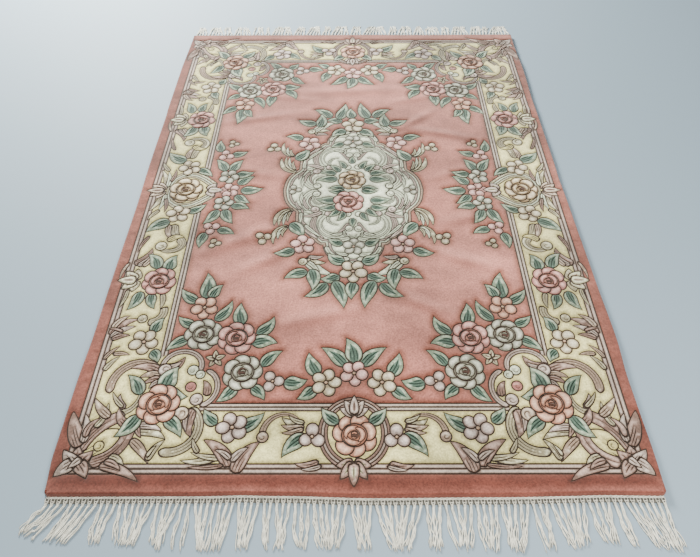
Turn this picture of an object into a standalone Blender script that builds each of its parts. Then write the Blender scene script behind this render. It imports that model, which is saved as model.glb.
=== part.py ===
"""A Chinese Aubusson rug: one carved wool pile, and a knotted cotton fringe at each end.

Metres, +Z up. The rug lies flat on the floor. The origin is on the floor under the middle of the rug,
+X points to its right side and +Y to its far end. The design repeats in four quarters, so its tables
give places in one quarter: across, from the long centre line to a side, and along, from the middle to
an end.
"""

import math

import bmesh
import bpy
import numpy as np
from mathutils.geometry import delaunay_2d_cdt

# The size of the rug
PILE_WIDTH = 1.70
PILE_LENGTH = 2.40
PILE_HEIGHT = 0.016
HALF_WIDTH = PILE_WIDTH / 2
HALF_LENGTH = PILE_LENGTH / 2
CORNER_RADIUS = 0.016
LEAST_CORNER_RADIUS = 0.004
CORNER_TURNS = (-90, -60, -30, 0)
EDGE_STEP = 0.085

# How the cut edge of the pile rounds over: inset from the edge, and height as a share of the pile's
EDGE_PROFILE = [
    {"inset": 0.000, "share": 0.42},
    {"inset": 0.005, "share": 0.76},
    {"inset": 0.018, "share": 1.00},
]

# How far the sides stand outside a true rectangle, at places along the rug
SIDE_SWAY = [
    {"along": -1.20, "left": 0.005, "right": 0.006},
    {"along": -1.08, "left": 0.015, "right": 0.008},
    {"along": -0.85, "left": 0.016, "right": 0.006},
    {"along": -0.70, "left": 0.012, "right": 0.013},
    {"along": -0.45, "left": 0.013, "right": 0.008},
    {"along": -0.10, "left": 0.011, "right": 0.004},
    {"along": 0.20, "left": 0.015, "right": -0.003},
    {"along": 0.50, "left": 0.013, "right": -0.002},
    {"along": 0.55, "left": 0.015, "right": 0.001},
    {"along": 0.85, "left": 0.014, "right": -0.006},
    {"along": 1.20, "left": 0.005, "right": 0.002},
]

# How far the two ends bow out, at places across the rug
END_SWAY = [
    {"across": -0.85, "near": -0.004, "far": 0.000},
    {"across": -0.45, "near": -0.003, "far": 0.002},
    {"across": -0.20, "near": 0.002, "far": 0.001},
    {"across": 0.05, "near": 0.008, "far": 0.002},
    {"across": 0.35, "near": 0.006, "far": 0.000},
    {"across": 0.85, "near": -0.002, "far": -0.002},
]

# Soft ripples that the rug keeps from being folded: their middles, their turn in degrees and their size
RIPPLES = [
    {"x": -0.42, "y": 0.47, "turn": 12, "length": 0.30, "width": 0.045, "height": 0.0040},
    {"x": 0.28, "y": 0.45, "turn": 38, "length": 0.20, "width": 0.040, "height": 0.0050},
    {"x": 0.38, "y": 0.36, "turn": -14, "length": 0.28, "width": 0.040, "height": 0.0040},
    {"x": 0.77, "y": 0.53, "turn": 4, "length": 0.14, "width": 0.040, "height": 0.0060},
    {"x": -0.42, "y": -0.27, "turn": 24, "length": 0.34, "width": 0.060, "height": 0.0050},
    {"x": -0.30, "y": -0.36, "turn": 30, "length": 0.22, "width": 0.050, "height": 0.0040},
    {"x": 0.40, "y": -0.37, "turn": -20, "length": 0.20, "width": 0.050, "height": 0.0030},
    {"x": -0.02, "y": 0.68, "turn": 3, "length": 0.50, "width": 0.060, "height": 0.0030},
]
RIPPLE_CLEARANCE = 0.012
RIPPLE_ROWS = (-0.5, 0.0, 0.5)
RIPPLE_PLACES = (-0.4, -0.2, 0.0, 0.2, 0.4)

# Carved grooves
GROOVE_HALF_WIDTH = 0.004
GROOVE_DEPTH = 0.004
SHARPEST_TURN = 0.6
BAND = 0.0125
RULE_STEP = 0.30
OUTER_RULE = {"across": 0.8025, "along": 1.130}
INNER_RULE = {"across": 0.6100, "along": 0.9425}

# The corners of the medallion's outline, and how far the side after each of them bulges
MEDALLION = [
    {"across": 0.272, "along": 0.000, "bulge": 0.022, "steps": 5},
    {"across": 0.216, "along": 0.116, "bulge": 0.000, "steps": 1},
    {"across": 0.214, "along": 0.184, "bulge": 0.000, "steps": 1},
    {"across": 0.122, "along": 0.286, "bulge": 0.000, "steps": 1},
    {"across": 0.104, "along": 0.284, "bulge": 0.022, "steps": 5},
    {"across": 0.000, "along": 0.376, "bulge": 0.000, "steps": 0},
]

# Scrolls that are arcs of a circle or an oval; a full turn is a frame round a rose
SCROLLS = [
    {"across": 0.000, "along": 1.025, "wide": 0.080, "long": 0.084, "start": 0, "sweep": 360},
    {"across": 0.000, "along": 1.025, "wide": 0.101, "long": 0.105, "start": 0, "sweep": 360},
    {"across": 0.680, "along": 0.000, "wide": 0.108, "long": 0.084, "start": 0, "sweep": 360},
    {"across": 0.675, "along": 0.880, "wide": 0.084, "long": 0.088, "start": -140, "sweep": 164},
    {"across": 0.545, "along": 0.805, "wide": 0.060, "long": 0.056, "start": -217, "sweep": 222},
    {"across": 0.475, "along": 0.880, "wide": 0.054, "long": 0.060, "start": 90, "sweep": 183},
    {"across": 0.530, "along": 1.015, "wide": 0.078, "long": 0.078, "start": 62, "sweep": 176},
    {"across": 0.685, "along": 1.070, "wide": 0.098, "long": 0.098, "start": -82, "sweep": 85},
    {"across": 0.745, "along": 1.005, "wide": 0.098, "long": 0.098, "start": 90, "sweep": 87},
    {"across": 0.683, "along": 0.288, "wide": 0.048, "long": 0.042, "start": -20, "sweep": -230},
    {"across": 0.665, "along": 0.585, "wide": 0.050, "long": 0.062, "start": 100, "sweep": 130},
    {"across": 0.222, "along": 1.022, "wide": 0.046, "long": 0.048, "start": 20, "sweep": -200},
]
SCROLL_STEP = 30

# Flower heads: a rose is a layered dome, a blossom has five petals round a sunk heart
HEADS = [
    {"kind": "rose", "across": 0.595, "along": 0.935, "radius": 0.060},
    {"kind": "rose", "across": 0.390, "along": 0.695, "radius": 0.058},
    {"kind": "rose", "across": 0.495, "along": 0.690, "radius": 0.048},
    {"kind": "rose", "across": 0.348, "along": 0.840, "radius": 0.058},
    {"kind": "rose", "across": 0.700, "along": 0.465, "radius": 0.058},
    {"kind": "rose", "across": 0.680, "along": 0.000, "radius": 0.058},
    {"kind": "rose", "across": 0.000, "along": 1.028, "radius": 0.058},
    {"kind": "blossom", "across": 0.510, "along": 0.578, "radius": 0.044},
    {"kind": "blossom", "across": 0.245, "along": 0.855, "radius": 0.034},
    {"kind": "blossom", "across": 0.088, "along": 0.860, "radius": 0.038},
    {"kind": "blossom", "across": 0.000, "along": 0.842, "radius": 0.038},
    {"kind": "blossom", "across": 0.365, "along": 1.005, "radius": 0.045},
    {"kind": "blossom", "across": 0.130, "along": 1.035, "radius": 0.026},
    {"kind": "blossom", "across": 0.685, "along": 0.720, "radius": 0.045},
    {"kind": "blossom", "across": 0.695, "along": 0.140, "radius": 0.042},
    {"kind": "blossom", "across": 0.512, "along": 0.000, "radius": 0.038},
    {"kind": "blossom", "across": 0.515, "along": 0.088, "radius": 0.038},
    {"kind": "blossom", "across": 0.545, "along": 0.212, "radius": 0.036},
    {"kind": "blossom", "across": 0.190, "along": 0.300, "radius": 0.036},
    {"kind": "blossom", "across": 0.000, "along": 0.432, "radius": 0.040},
    {"kind": "blossom", "across": 0.000, "along": 0.312, "radius": 0.034},
    {"kind": "blossom", "across": 0.792, "along": 1.117, "radius": 0.038},
]
MIDDLE_ROSES = [
    {"x": -0.005, "y": 0.056, "radius": 0.050},
    {"x": -0.008, "y": -0.060, "radius": 0.058},
]
ROSE_RINGS = [
    {"share": 0.00, "places": 1, "height": 0.0010},
    {"share": 0.26, "places": 5, "height": 0.0042},
    {"share": 0.52, "places": 6, "height": 0.0012},
    {"share": 0.74, "places": 9, "height": 0.0036},
    {"share": 1.00, "places": 11, "height": -0.0030},
]
BLOSSOM_RINGS = [
    {"share": 0.00, "places": 1, "height": 0.0000},
    {"share": 0.22, "places": 5, "height": -0.0020},
    {"share": 0.62, "places": 5, "height": 0.0040},
]
BLOSSOM_RIM = {"petals": 5, "tip": 1.0, "cleft": 0.70, "height": -0.0030}

# Leaves, from the stalk to the tip
LEAVES = [
    {"across": 0.505, "along": 0.530, "tip_across": 0.530, "tip_along": 0.432, "width": 0.040},
    {"across": 0.548, "along": 0.545, "tip_across": 0.588, "tip_along": 0.500, "width": 0.028},
    {"across": 0.475, "along": 0.540, "tip_across": 0.450, "tip_along": 0.478, "width": 0.030},
    {"across": 0.458, "along": 0.620, "tip_across": 0.422, "tip_along": 0.556, "width": 0.030},
    {"across": 0.375, "along": 0.634, "tip_across": 0.392, "tip_along": 0.568, "width": 0.034},
    {"across": 0.336, "along": 0.664, "tip_across": 0.272, "tip_along": 0.616, "width": 0.032},
    {"across": 0.328, "along": 0.712, "tip_across": 0.250, "tip_along": 0.722, "width": 0.034},
    {"across": 0.290, "along": 0.798, "tip_across": 0.236, "tip_along": 0.755, "width": 0.030},
    {"across": 0.208, "along": 0.853, "tip_across": 0.148, "tip_along": 0.845, "width": 0.032},
    {"across": 0.118, "along": 0.818, "tip_across": 0.142, "tip_along": 0.758, "width": 0.034},
    {"across": 0.042, "along": 0.804, "tip_across": 0.092, "tip_along": 0.744, "width": 0.032},
    {"across": 0.000, "along": 0.796, "tip_across": 0.000, "tip_along": 0.712, "width": 0.040},
    {"across": 0.468, "along": 0.000, "tip_across": 0.368, "tip_along": 0.000, "width": 0.036},
    {"across": 0.472, "along": 0.040, "tip_across": 0.402, "tip_along": 0.062, "width": 0.032},
    {"across": 0.472, "along": 0.100, "tip_across": 0.414, "tip_along": 0.128, "width": 0.030},
    {"across": 0.498, "along": 0.134, "tip_across": 0.468, "tip_along": 0.192, "width": 0.034},
    {"across": 0.538, "along": 0.130, "tip_across": 0.582, "tip_along": 0.176, "width": 0.030},
    {"across": 0.504, "along": 0.226, "tip_across": 0.450, "tip_along": 0.246, "width": 0.028},
    {"across": 0.556, "along": 0.254, "tip_across": 0.574, "tip_along": 0.306, "width": 0.028},
    {"across": 0.236, "along": 0.262, "tip_across": 0.262, "tip_along": 0.200, "width": 0.030},
    {"across": 0.232, "along": 0.314, "tip_across": 0.302, "tip_along": 0.336, "width": 0.030},
    {"across": 0.120, "along": 0.460, "tip_across": 0.206, "tip_along": 0.480, "width": 0.030},
    {"across": 0.076, "along": 0.478, "tip_across": 0.150, "tip_along": 0.540, "width": 0.034},
    {"across": 0.044, "along": 0.484, "tip_across": 0.052, "tip_along": 0.572, "width": 0.034},
    {"across": 0.736, "along": 0.406, "tip_across": 0.752, "tip_along": 0.350, "width": 0.034},
    {"across": 0.664, "along": 0.410, "tip_across": 0.644, "tip_along": 0.350, "width": 0.034},
    {"across": 0.730, "along": 0.528, "tip_across": 0.764, "tip_along": 0.584, "width": 0.034},
    {"across": 0.686, "along": 0.530, "tip_across": 0.678, "tip_along": 0.592, "width": 0.032},
    {"across": 0.656, "along": 0.678, "tip_across": 0.640, "tip_along": 0.620, "width": 0.028},
    {"across": 0.738, "along": 0.174, "tip_across": 0.774, "tip_along": 0.226, "width": 0.030},
    {"across": 0.322, "along": 0.990, "tip_across": 0.270, "tip_along": 0.974, "width": 0.026},
    {"across": 0.648, "along": 0.978, "tip_across": 0.700, "tip_along": 1.030, "width": 0.034},
    {"across": 0.560, "along": 0.992, "tip_across": 0.520, "tip_along": 1.044, "width": 0.034},
]
LEAF_WAIST = 0.4
LEAF_RIDGE = 0.0030
LEAF_RIM = -0.0015

# How close two corners of the pile's surface may come, the longest way across a flower head or leaf, and
# the spacing of the corners that only fill the surface
CORNER_SPACING = 0.0030
SAME_POINT = 0.0001
SHAPE_REACH = 0.14
FILL_STEP = 0.100
FILL_CLEARANCE = 0.050
FILL_MARGIN = 0.030

# The fringe: a woven edge, a row of knots with holes between them, and locks that lie on the floor
KNOTS = 100
KNOT_PITCH = PILE_WIDTH / KNOTS
SEAT_GAP = 0.0003
EDGE_END = 0.846
VALLEY_OUT = 0.0120
HOLE_OUT = 0.0085
HOLE_TIP_OUT = 0.0165
HOLE_HALF_WIDTH = 0.0042
KNOT_OUT = 0.0215
KNOT_HALF_WIDTH = 0.0034
LOCK_GAP = 0.0016
LOCK_HALF_WIDTH = 0.0076
FRINGE_HEIGHTS = [
    {"out": 0.000, "height": 0.0040},
    {"out": 0.012, "height": 0.0038},
    {"out": 0.021, "height": 0.0055},
    {"out": 0.060, "height": 0.0040},
    {"out": 0.140, "height": 0.0032},
]

# Where the locks' tips lie, at some knots counted from the left: sideways of the knot, and the reach
NEAR_LOCKS = [
    {"knot": 0, "sideways": -0.058, "reach": 0.104},
    {"knot": 5, "sideways": -0.050, "reach": 0.112},
    {"knot": 8, "sideways": -0.040, "reach": 0.116},
    {"knot": 9, "sideways": -0.012, "reach": 0.116},
    {"knot": 17, "sideways": -0.006, "reach": 0.122},
    {"knot": 22, "sideways": -0.014, "reach": 0.130},
    {"knot": 23, "sideways": 0.004, "reach": 0.134},
    {"knot": 27, "sideways": -0.008, "reach": 0.134},
    {"knot": 28, "sideways": 0.006, "reach": 0.136},
    {"knot": 36, "sideways": -0.010, "reach": 0.132},
    {"knot": 37, "sideways": 0.006, "reach": 0.134},
    {"knot": 46, "sideways": 0.000, "reach": 0.128},
    {"knot": 52, "sideways": 0.010, "reach": 0.128},
    {"knot": 58, "sideways": -0.008, "reach": 0.128},
    {"knot": 66, "sideways": 0.004, "reach": 0.130},
    {"knot": 77, "sideways": -0.012, "reach": 0.134},
    {"knot": 78, "sideways": 0.010, "reach": 0.134},
    {"knot": 86, "sideways": 0.006, "reach": 0.122},
    {"knot": 92, "sideways": 0.018, "reach": 0.124},
    {"knot": 99, "sideways": 0.040, "reach": 0.142},
]
FAR_LOCKS = [
    {"knot": 0, "sideways": -0.004, "reach": 0.100},
    {"knot": 14, "sideways": -0.008, "reach": 0.104},
    {"knot": 30, "sideways": 0.006, "reach": 0.106},
    {"knot": 44, "sideways": 0.010, "reach": 0.110},
    {"knot": 58, "sideways": 0.008, "reach": 0.106},
    {"knot": 70, "sideways": 0.012, "reach": 0.110},
    {"knot": 73, "sideways": -0.006, "reach": 0.102},
    {"knot": 86, "sideways": 0.010, "reach": 0.104},
    {"knot": 99, "sideways": 0.012, "reach": 0.102},
]

# Every lock's reach strays from its neighbours' by up to this much, in a fixed order
REACH_STRAY = 0.006
STRAY_ORDER = (0.3, -0.8, 0.9, -0.2, 0.6, -1.0, 0.1, 0.8, -0.5, 1.0, -0.3)

# Each tip is cut at a slant: this share of the stray of the lock a few knots on
TIP_SLANT = 0.5
TIP_SLANT_FROM = 3

ROSE_PINK = (0.56, 0.27, 0.22, 1.0)
COTTON = (0.70, 0.66, 0.55, 1.0)
CLOTH_ROUGHNESS = 0.95


def read_table(table, key, value, at):
    """A smooth reading of one column of a table at a place between its rows."""
    for before, after in zip(table, table[1:]):
        if at <= after[key]:
            share = min(1.0, max(0.0, (at - before[key]) / (after[key] - before[key])))
            smooth = share * share * (3 - 2 * share)
            return before[value] + (after[value] - before[value]) * smooth
    return table[-1][value]


def quarters(across, along):
    """The signs that carry a place in one quarter to the others, once each."""
    return [(i, j) for i in ((1, -1) if across else (1,)) for j in ((1, -1) if along else (1,))]


def swayed(x, y):
    """A point by the true rectangle's edge, moved out by the sway of its side and its end."""
    side = "left" if x < 0 else "right"
    end = "near" if y < 0 else "far"
    out_x = read_table(SIDE_SWAY, "along", side, y) * abs(x) / HALF_WIDTH
    out_y = read_table(END_SWAY, "across", end, x) * abs(y) / HALF_LENGTH
    return x + math.copysign(out_x, x), y + math.copysign(out_y, y)


def divided(line, step, closed):
    """A line with points added so that none of its edges is much longer than a step."""
    ends = line + line[:1] if closed else line
    points = []
    for (ax, ay), (bx, by) in zip(ends, ends[1:]):
        steps = max(1, round(math.hypot(bx - ax, by - ay) / step))
        points += [(ax + (bx - ax) * k / steps, ay + (by - ay) * k / steps) for k in range(steps)]
    return points if closed else points + line[-1:]


def edge_loop(inset):
    """The pile's outline, anticlockwise, drawn in by an inset."""
    wide, long = HALF_WIDTH - CORNER_RADIUS, HALF_LENGTH - CORNER_RADIUS
    reach = max(CORNER_RADIUS - inset, LEAST_CORNER_RADIUS)
    pull = CORNER_RADIUS - inset - reach
    corners = []
    for i, (cx, cy) in enumerate([(wide, -long), (wide, long), (-wide, long), (-wide, -long)]):
        for turn in CORNER_TURNS:
            angle = math.radians(turn + 90 * i)
            x, y = cx + reach * math.cos(angle), cy + reach * math.sin(angle)
            corners.append((x + math.copysign(pull, x), y + math.copysign(pull, y)))
    return [swayed(x, y) for x, y in divided(corners, EDGE_STEP, True)]


def rectangle(across, along):
    """A rectangle round the middle of the rug, with points added along its sides."""
    corners = [(across, -along), (across, along), (-across, along), (-across, -along)]
    return divided(corners, RULE_STEP, True)


def scroll_arc(scroll, i, j, spread):
    """One scroll's line in the quarter with signs i and j, moved outwards by spread."""
    whole = scroll["sweep"] == 360
    steps = round(abs(scroll["sweep"]) / SCROLL_STEP)
    line = []
    for k in range(steps if whole else steps + 1):
        turn = math.radians(scroll["start"] + scroll["sweep"] * k / steps)
        x = scroll["across"] + (scroll["wide"] + spread) * math.cos(turn)
        y = scroll["along"] + (scroll["long"] + spread) * math.sin(turn)
        line.append((i * x, j * y))
    return line


def medallion_loop():
    """The medallion's outline, anticlockwise from its right-hand lobe."""
    quarter = []
    for row, after in zip(MEDALLION, MEDALLION[1:]):
        for k in range(row["steps"]):
            share = k / row["steps"]
            x = row["across"] + (after["across"] - row["across"]) * share
            y = row["along"] + (after["along"] - row["along"]) * share
            out = row["bulge"] * math.sin(math.pi * share) / math.sqrt(2)
            quarter.append((x + out, y + out))
    half = quarter + [(0.0, MEDALLION[-1]["along"])] + [(-x, y) for x, y in reversed(quarter)]
    return half + [(x, -y) for x, y in reversed(half[1:-1])]


def moved_out(loop, spread):
    """A closed anticlockwise line, moved outwards by spread."""
    points = []
    for k, (x, y) in enumerate(loop):
        before_x, before_y = loop[k - 1]
        after_x, after_y = loop[(k + 1) % len(loop)]
        first = math.atan2(y - before_y, x - before_x)
        second = math.atan2(after_y - y, after_x - x)
        bend = (second - first + math.pi) % (2 * math.pi) - math.pi
        outward = first + bend / 2 - math.pi / 2
        reach = spread / max(SHARPEST_TURN, math.cos(bend / 2))
        points.append((x + reach * math.cos(outward), y + reach * math.sin(outward)))
    return points


def all_grooves():
    """Each carved groove as its middle line, its two shoulders, and whether it closes on itself."""
    sides = (0, -GROOVE_HALF_WIDTH, GROOVE_HALF_WIDTH)
    grooves = []
    for rule in (OUTER_RULE, INNER_RULE):
        for band in (-BAND, 0, BAND):
            across, along = rule["across"] + band, rule["along"] + band
            grooves.append(([rectangle(across + side, along + side) for side in sides], True))
    outline = medallion_loop()
    for band in (-BAND / 2, BAND / 2):
        grooves.append(([moved_out(outline, band + side) for side in sides], True))
    for scroll in SCROLLS:
        for i, j in quarters(scroll["across"], scroll["along"]):
            lines = [scroll_arc(scroll, i, j, side) for side in sides]
            grooves.append((lines, scroll["sweep"] == 360))
    return grooves


def all_heads():
    """Each flower head's kind, place and radius."""
    heads = [{"kind": "rose", **row} for row in MIDDLE_ROSES]
    for row in HEADS:
        for i, j in quarters(row["across"], row["along"]):
            place = {"x": i * row["across"], "y": j * row["along"]}
            heads.append({"kind": row["kind"], "radius": row["radius"], **place})
    return heads


def head_rings(head):
    """The rings of points that carry a flower head's form, from its heart to its rim, with their heights."""
    rose = head["kind"] == "rose"
    table = ROSE_RINGS if rose else BLOSSOM_RINGS
    rings = [([row["share"]] * row["places"], row["height"]) for row in table]
    if not rose:
        petals = BLOSSOM_RIM["petals"]
        rings.append(([BLOSSOM_RIM["tip"], BLOSSOM_RIM["cleft"]] * petals, BLOSSOM_RIM["height"]))
    placed = []
    for shares, height in rings:
        ring = []
        for k, share in enumerate(shares):
            turn = 2 * math.pi * k / len(shares)
            reach = head["radius"] * share
            ring.append((head["x"] + reach * math.cos(turn), head["y"] + reach * math.sin(turn)))
        placed.append((ring, height))
    return placed


def all_leaves():
    """Each leaf's stalk, tip and width."""
    leaves = []
    for row in LEAVES:
        for i, j in quarters(row["across"] or row["tip_across"], row["along"] or row["tip_along"]):
            stalk = (i * row["across"], j * row["along"])
            tip = (i * row["tip_across"], j * row["tip_along"])
            leaves.append({"stalk": stalk, "tip": tip, "width": row["width"]})
    return leaves


def leaf_corners(leaf):
    """A leaf's stalk, its right side, its tip, its left side, and the top of its ridge."""
    (ax, ay), (bx, by) = leaf["stalk"], leaf["tip"]
    length = math.hypot(bx - ax, by - ay)
    half_x = (by - ay) / length * leaf["width"] / 2
    half_y = -(bx - ax) / length * leaf["width"] / 2
    mx, my = ax + (bx - ax) * LEAF_WAIST, ay + (by - ay) * LEAF_WAIST
    return [(ax, ay), (mx + half_x, my + half_y), (bx, by), (mx - half_x, my - half_y), (mx, my)]


def inside(point, loop):
    """Whether a point lies inside a closed line."""
    x, y = point
    crossings = 0
    for (ax, ay), (bx, by) in zip(loop, loop[1:] + loop[:1]):
        if (ay > y) != (by > y) and x < ax + (bx - ax) * (y - ay) / (by - ay):
            crossings += 1
    return crossings % 2 == 1


def crossing(a, b, c, d):
    """How far along the line from a to b, as a share, the line from c to d crosses it, or None."""
    (ax, ay), (bx, by), (cx, cy), (dx, dy) = a, b, c, d
    turn = (bx - ax) * (dy - cy) - (by - ay) * (dx - cx)
    if turn == 0:
        return None
    first = ((cx - ax) * (dy - cy) - (cy - ay) * (dx - cx)) / turn
    second = ((cx - ax) * (by - ay) - (cy - ay) * (bx - ax)) / turn
    return first if 0 < first < 1 and 0 <= second <= 1 else None


def clear_stretches(line, closed, shapes):
    """The pieces of a line that no shape covers, as pairs of points."""
    ends = line + line[:1] if closed else line
    stretches = []
    for a, b in zip(ends, ends[1:]):
        reach = math.dist(a, b)
        close = [shape for shape in shapes if math.dist(a, shape[0]) < reach + SHAPE_REACH]
        cuts = {0.0, 1.0}
        for shape in close:
            for c, d in zip(shape, shape[1:] + shape[:1]):
                cuts.add(crossing(a, b, c, d) or 0.0)
        ordered = sorted(cuts)
        for first, last in zip(ordered, ordered[1:]):
            if (last - first) * reach < CORNER_SPACING:
                continue
            p, q, middle = [
                (a[0] + (b[0] - a[0]) * share, a[1] + (b[1] - a[1]) * share)
                for share in (first, last, (first + last) / 2)
            ]
            if not any(inside(middle, shape) for shape in close):
                stretches.append((p, q))
    return stretches


def anticlockwise(loop):
    """A closed line, turned round if it runs clockwise."""
    turned = sum(ax * by - bx * ay for (ax, ay), (bx, by) in zip(loop, loop[1:] + loop[:1]))
    return loop if turned > 0 else loop[::-1]


def away_from(points, line, closed):
    """How far each of some points lies from a line."""
    ends = line + line[:1] if closed else line
    nearest = np.full(len(points), 1.0)
    for (ax, ay), (bx, by) in zip(ends, ends[1:]):
        step = np.array([bx - ax, by - ay])
        rest = points - np.array([ax, ay])
        share = np.clip(rest @ step / (step @ step), 0, 1)
        nearest = np.minimum(nearest, np.hypot(*(rest - share[:, None] * step).T))
    return nearest


def ripple_height(x, y):
    """The height of the soft ripples at a point."""
    total = 0.0
    for row in RIPPLES:
        turn = math.radians(row["turn"])
        run = (x - row["x"]) * math.cos(turn) + (y - row["y"]) * math.sin(turn)
        off = (y - row["y"]) * math.cos(turn) - (x - row["x"]) * math.sin(turn)
        fall = (2 * run / row["length"]) ** 2 + (2 * off / row["width"]) ** 2
        total += row["height"] * math.exp(-fall)
    return total


class Plan:
    """A flat net of points, the lines that its edges must follow, and the points' own reliefs."""

    def __init__(self):
        self.points = []
        self.lines = []
        self.reliefs = {}
        self.cells = {}

    def near(self, x, y, distance):
        """The number of a point within a distance of a place, or None."""
        reach = math.ceil(distance / CORNER_SPACING)
        column, row = round(x / CORNER_SPACING), round(y / CORNER_SPACING)
        for i in range(column - reach, column + reach + 1):
            for j in range(row - reach, row + reach + 1):
                for k in self.cells.get((i, j), ()):
                    if math.hypot(self.points[k][0] - x, self.points[k][1] - y) < distance:
                        return k
        return None

    def point(self, x, y, relief=None):
        """Adds a point, or finds the one that is already there, and gives its number."""
        found = self.near(x, y, CORNER_SPACING)
        if found is not None:
            return found
        self.points.append((x, y))
        number = len(self.points) - 1
        cell = (round(x / CORNER_SPACING), round(y / CORNER_SPACING))
        self.cells.setdefault(cell, []).append(number)
        if relief is not None:
            self.reliefs[number] = relief
        return number

    def line(self, points, closed, relief=None):
        """Adds a line of points and ties each to the next; None breaks the line."""
        numbers = [None if p is None else self.point(*p, relief) for p in points]
        ends = numbers + numbers[:1] if closed else numbers
        for a, b in zip(ends, ends[1:]):
            if a is not None and b is not None and a != b:
                self.lines.append((a, b))
        return numbers


def plan_of_pile():
    """The pile's plan: its edge first, then flower heads over leaves over grooves, then the rest."""
    plan = Plan()
    outline = plan.line(edge_loop(EDGE_PROFILE[0]["inset"]), True)
    shares = dict.fromkeys(outline, EDGE_PROFILE[0]["share"])
    for row in EDGE_PROFILE[1:]:
        shares.update(dict.fromkeys(plan.line(edge_loop(row["inset"]), True), row["share"]))
    shapes = []
    for head in all_heads():
        rings = head_rings(head)
        for ring, height in rings[:-1]:
            for x, y in ring:
                plan.point(x, y, height)
        plan.line(rings[-1][0], True, rings[-1][1])
        shapes.append(rings[-1][0])
    for leaf in all_leaves():
        *rim, top = leaf_corners(leaf)
        free = [None if any(inside(p, shape) for shape in shapes) else p for p in rim]
        plan.line(free, True, LEAF_RIM)
        plan.point(*top, LEAF_RIDGE)
    shapes += [leaf_corners(leaf)[:4] for leaf in all_leaves()]
    grooves = all_grooves()
    for lines, closed in grooves:
        for line, relief in zip(lines, (-GROOVE_DEPTH, 0.0, 0.0)):
            for stretch in clear_stretches(line, closed, shapes):
                plan.line(stretch, False, relief)
    for row in RIPPLES:
        turn = math.radians(row["turn"])
        for off in RIPPLE_ROWS:
            for run in RIPPLE_PLACES:
                along, aside = run * row["length"], off * row["width"]
                x = row["x"] + along * math.cos(turn) - aside * math.sin(turn)
                y = row["y"] + along * math.sin(turn) + aside * math.cos(turn)
                if plan.near(x, y, RIPPLE_CLEARANCE) is None:
                    plan.point(x, y)
    for i in range(round(PILE_WIDTH / FILL_STEP)):
        for j in range(round(PILE_LENGTH / FILL_STEP)):
            x = (i + 0.5) * FILL_STEP - HALF_WIDTH
            y = (j + 0.5) * FILL_STEP - HALF_LENGTH
            if max(abs(x) - HALF_WIDTH, abs(y) - HALF_LENGTH) < -FILL_MARGIN:
                if plan.near(x, y, FILL_CLEARANCE) is None:
                    plan.point(x, y)
    return plan, outline, shares, grooves


def filled(plan, outline, holes):
    """The plan's triangles inside its outline and outside its holes, with the numbers of their points."""
    made = delaunay_2d_cdt(plan.points, plan.lines, [outline] + holes, 1, SAME_POINT)
    points, faces, old_numbers, old_faces = made[0], made[2], made[3], made[5]
    kept = [face for face, origin in zip(faces, old_faces) if list(origin) == [0]]
    return [(p.x, p.y) for p in points], kept, old_numbers


def raised(name, points, faces, heights, one_base, colour, collection):
    """A closed solid that stands on the floor under a net of triangles at their own heights."""
    bm = bmesh.new()
    used = sorted({k for face in faces for k in face})
    verts = {k: bm.verts.new((*points[k], 0.0)) for k in used}
    base = [bm.faces.new([verts[k] for k in face]) for face in faces]
    copied = bmesh.ops.extrude_face_region(bm, geom=base)["geom"]
    lookup = {(round(points[k][0], 7), round(points[k][1], 7)): heights[k] for k in used}
    for vert in copied:
        if isinstance(vert, bmesh.types.BMVert):
            vert.co.z = lookup[(round(vert.co.x, 7), round(vert.co.y, 7))]
    flat = [face for face in bm.faces if all(abs(v.co.z) < 1e-9 for v in face.verts)]
    if one_base:
        bmesh.ops.dissolve_faces(bm, faces=flat)
    bmesh.ops.recalc_face_normals(bm, faces=bm.faces[:])
    mesh = bpy.data.meshes.new(name)
    bm.to_mesh(mesh)
    bm.free()
    solid = bpy.data.objects.new(name, mesh)
    material = bpy.data.materials.new(name + "_material")
    material.use_nodes = True
    shader = material.node_tree.nodes["Principled BSDF"]
    shader.inputs["Base Color"].default_value = colour
    shader.inputs["Roughness"].default_value = CLOTH_ROUGHNESS
    mesh.materials.append(material)
    collection.objects.link(solid)
    return solid


def build_pile(collection):
    """The carved pile with its flat back."""
    plan, outline, shares, grooves = plan_of_pile()
    points, faces, old_numbers = filled(plan, outline, [])
    cut = np.zeros(len(points))
    for lines, closed in grooves:
        away = away_from(np.array(points), lines[0], closed)
        cut = np.minimum(cut, -GROOVE_DEPTH * np.clip(1 - away / GROOVE_HALF_WIDTH, 0, 1))
    heights = []
    for (x, y), numbers, groove in zip(points, old_numbers, cut):
        own = [plan.reliefs[k] for k in numbers if k in plan.reliefs]
        share = min([shares[k] for k in numbers if k in shares], default=1.0)
        relief = own[0] if own else groove
        lift = relief + ripple_height(x, y) if share == 1.0 else 0.0
        heights.append(share * PILE_HEIGHT + lift)
    return raised("rug_pile", points, faces, heights, True, ROSE_PINK, collection)


def lock_outline(x, lean, reach, slant, half_left, half_right):
    """One lock from its knot's left side round its tip to the knot's right side, as (x, out) places."""
    left_out, right_out = reach, reach - slant
    left_x = x + lean * (left_out - KNOT_OUT) - half_left
    right_x = x + lean * (right_out - KNOT_OUT) + half_right
    knot = [(x - KNOT_HALF_WIDTH, KNOT_OUT), (x + KNOT_HALF_WIDTH, KNOT_OUT)]
    return [knot[0], (left_x, left_out), (right_x, right_out), knot[1]]


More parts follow.
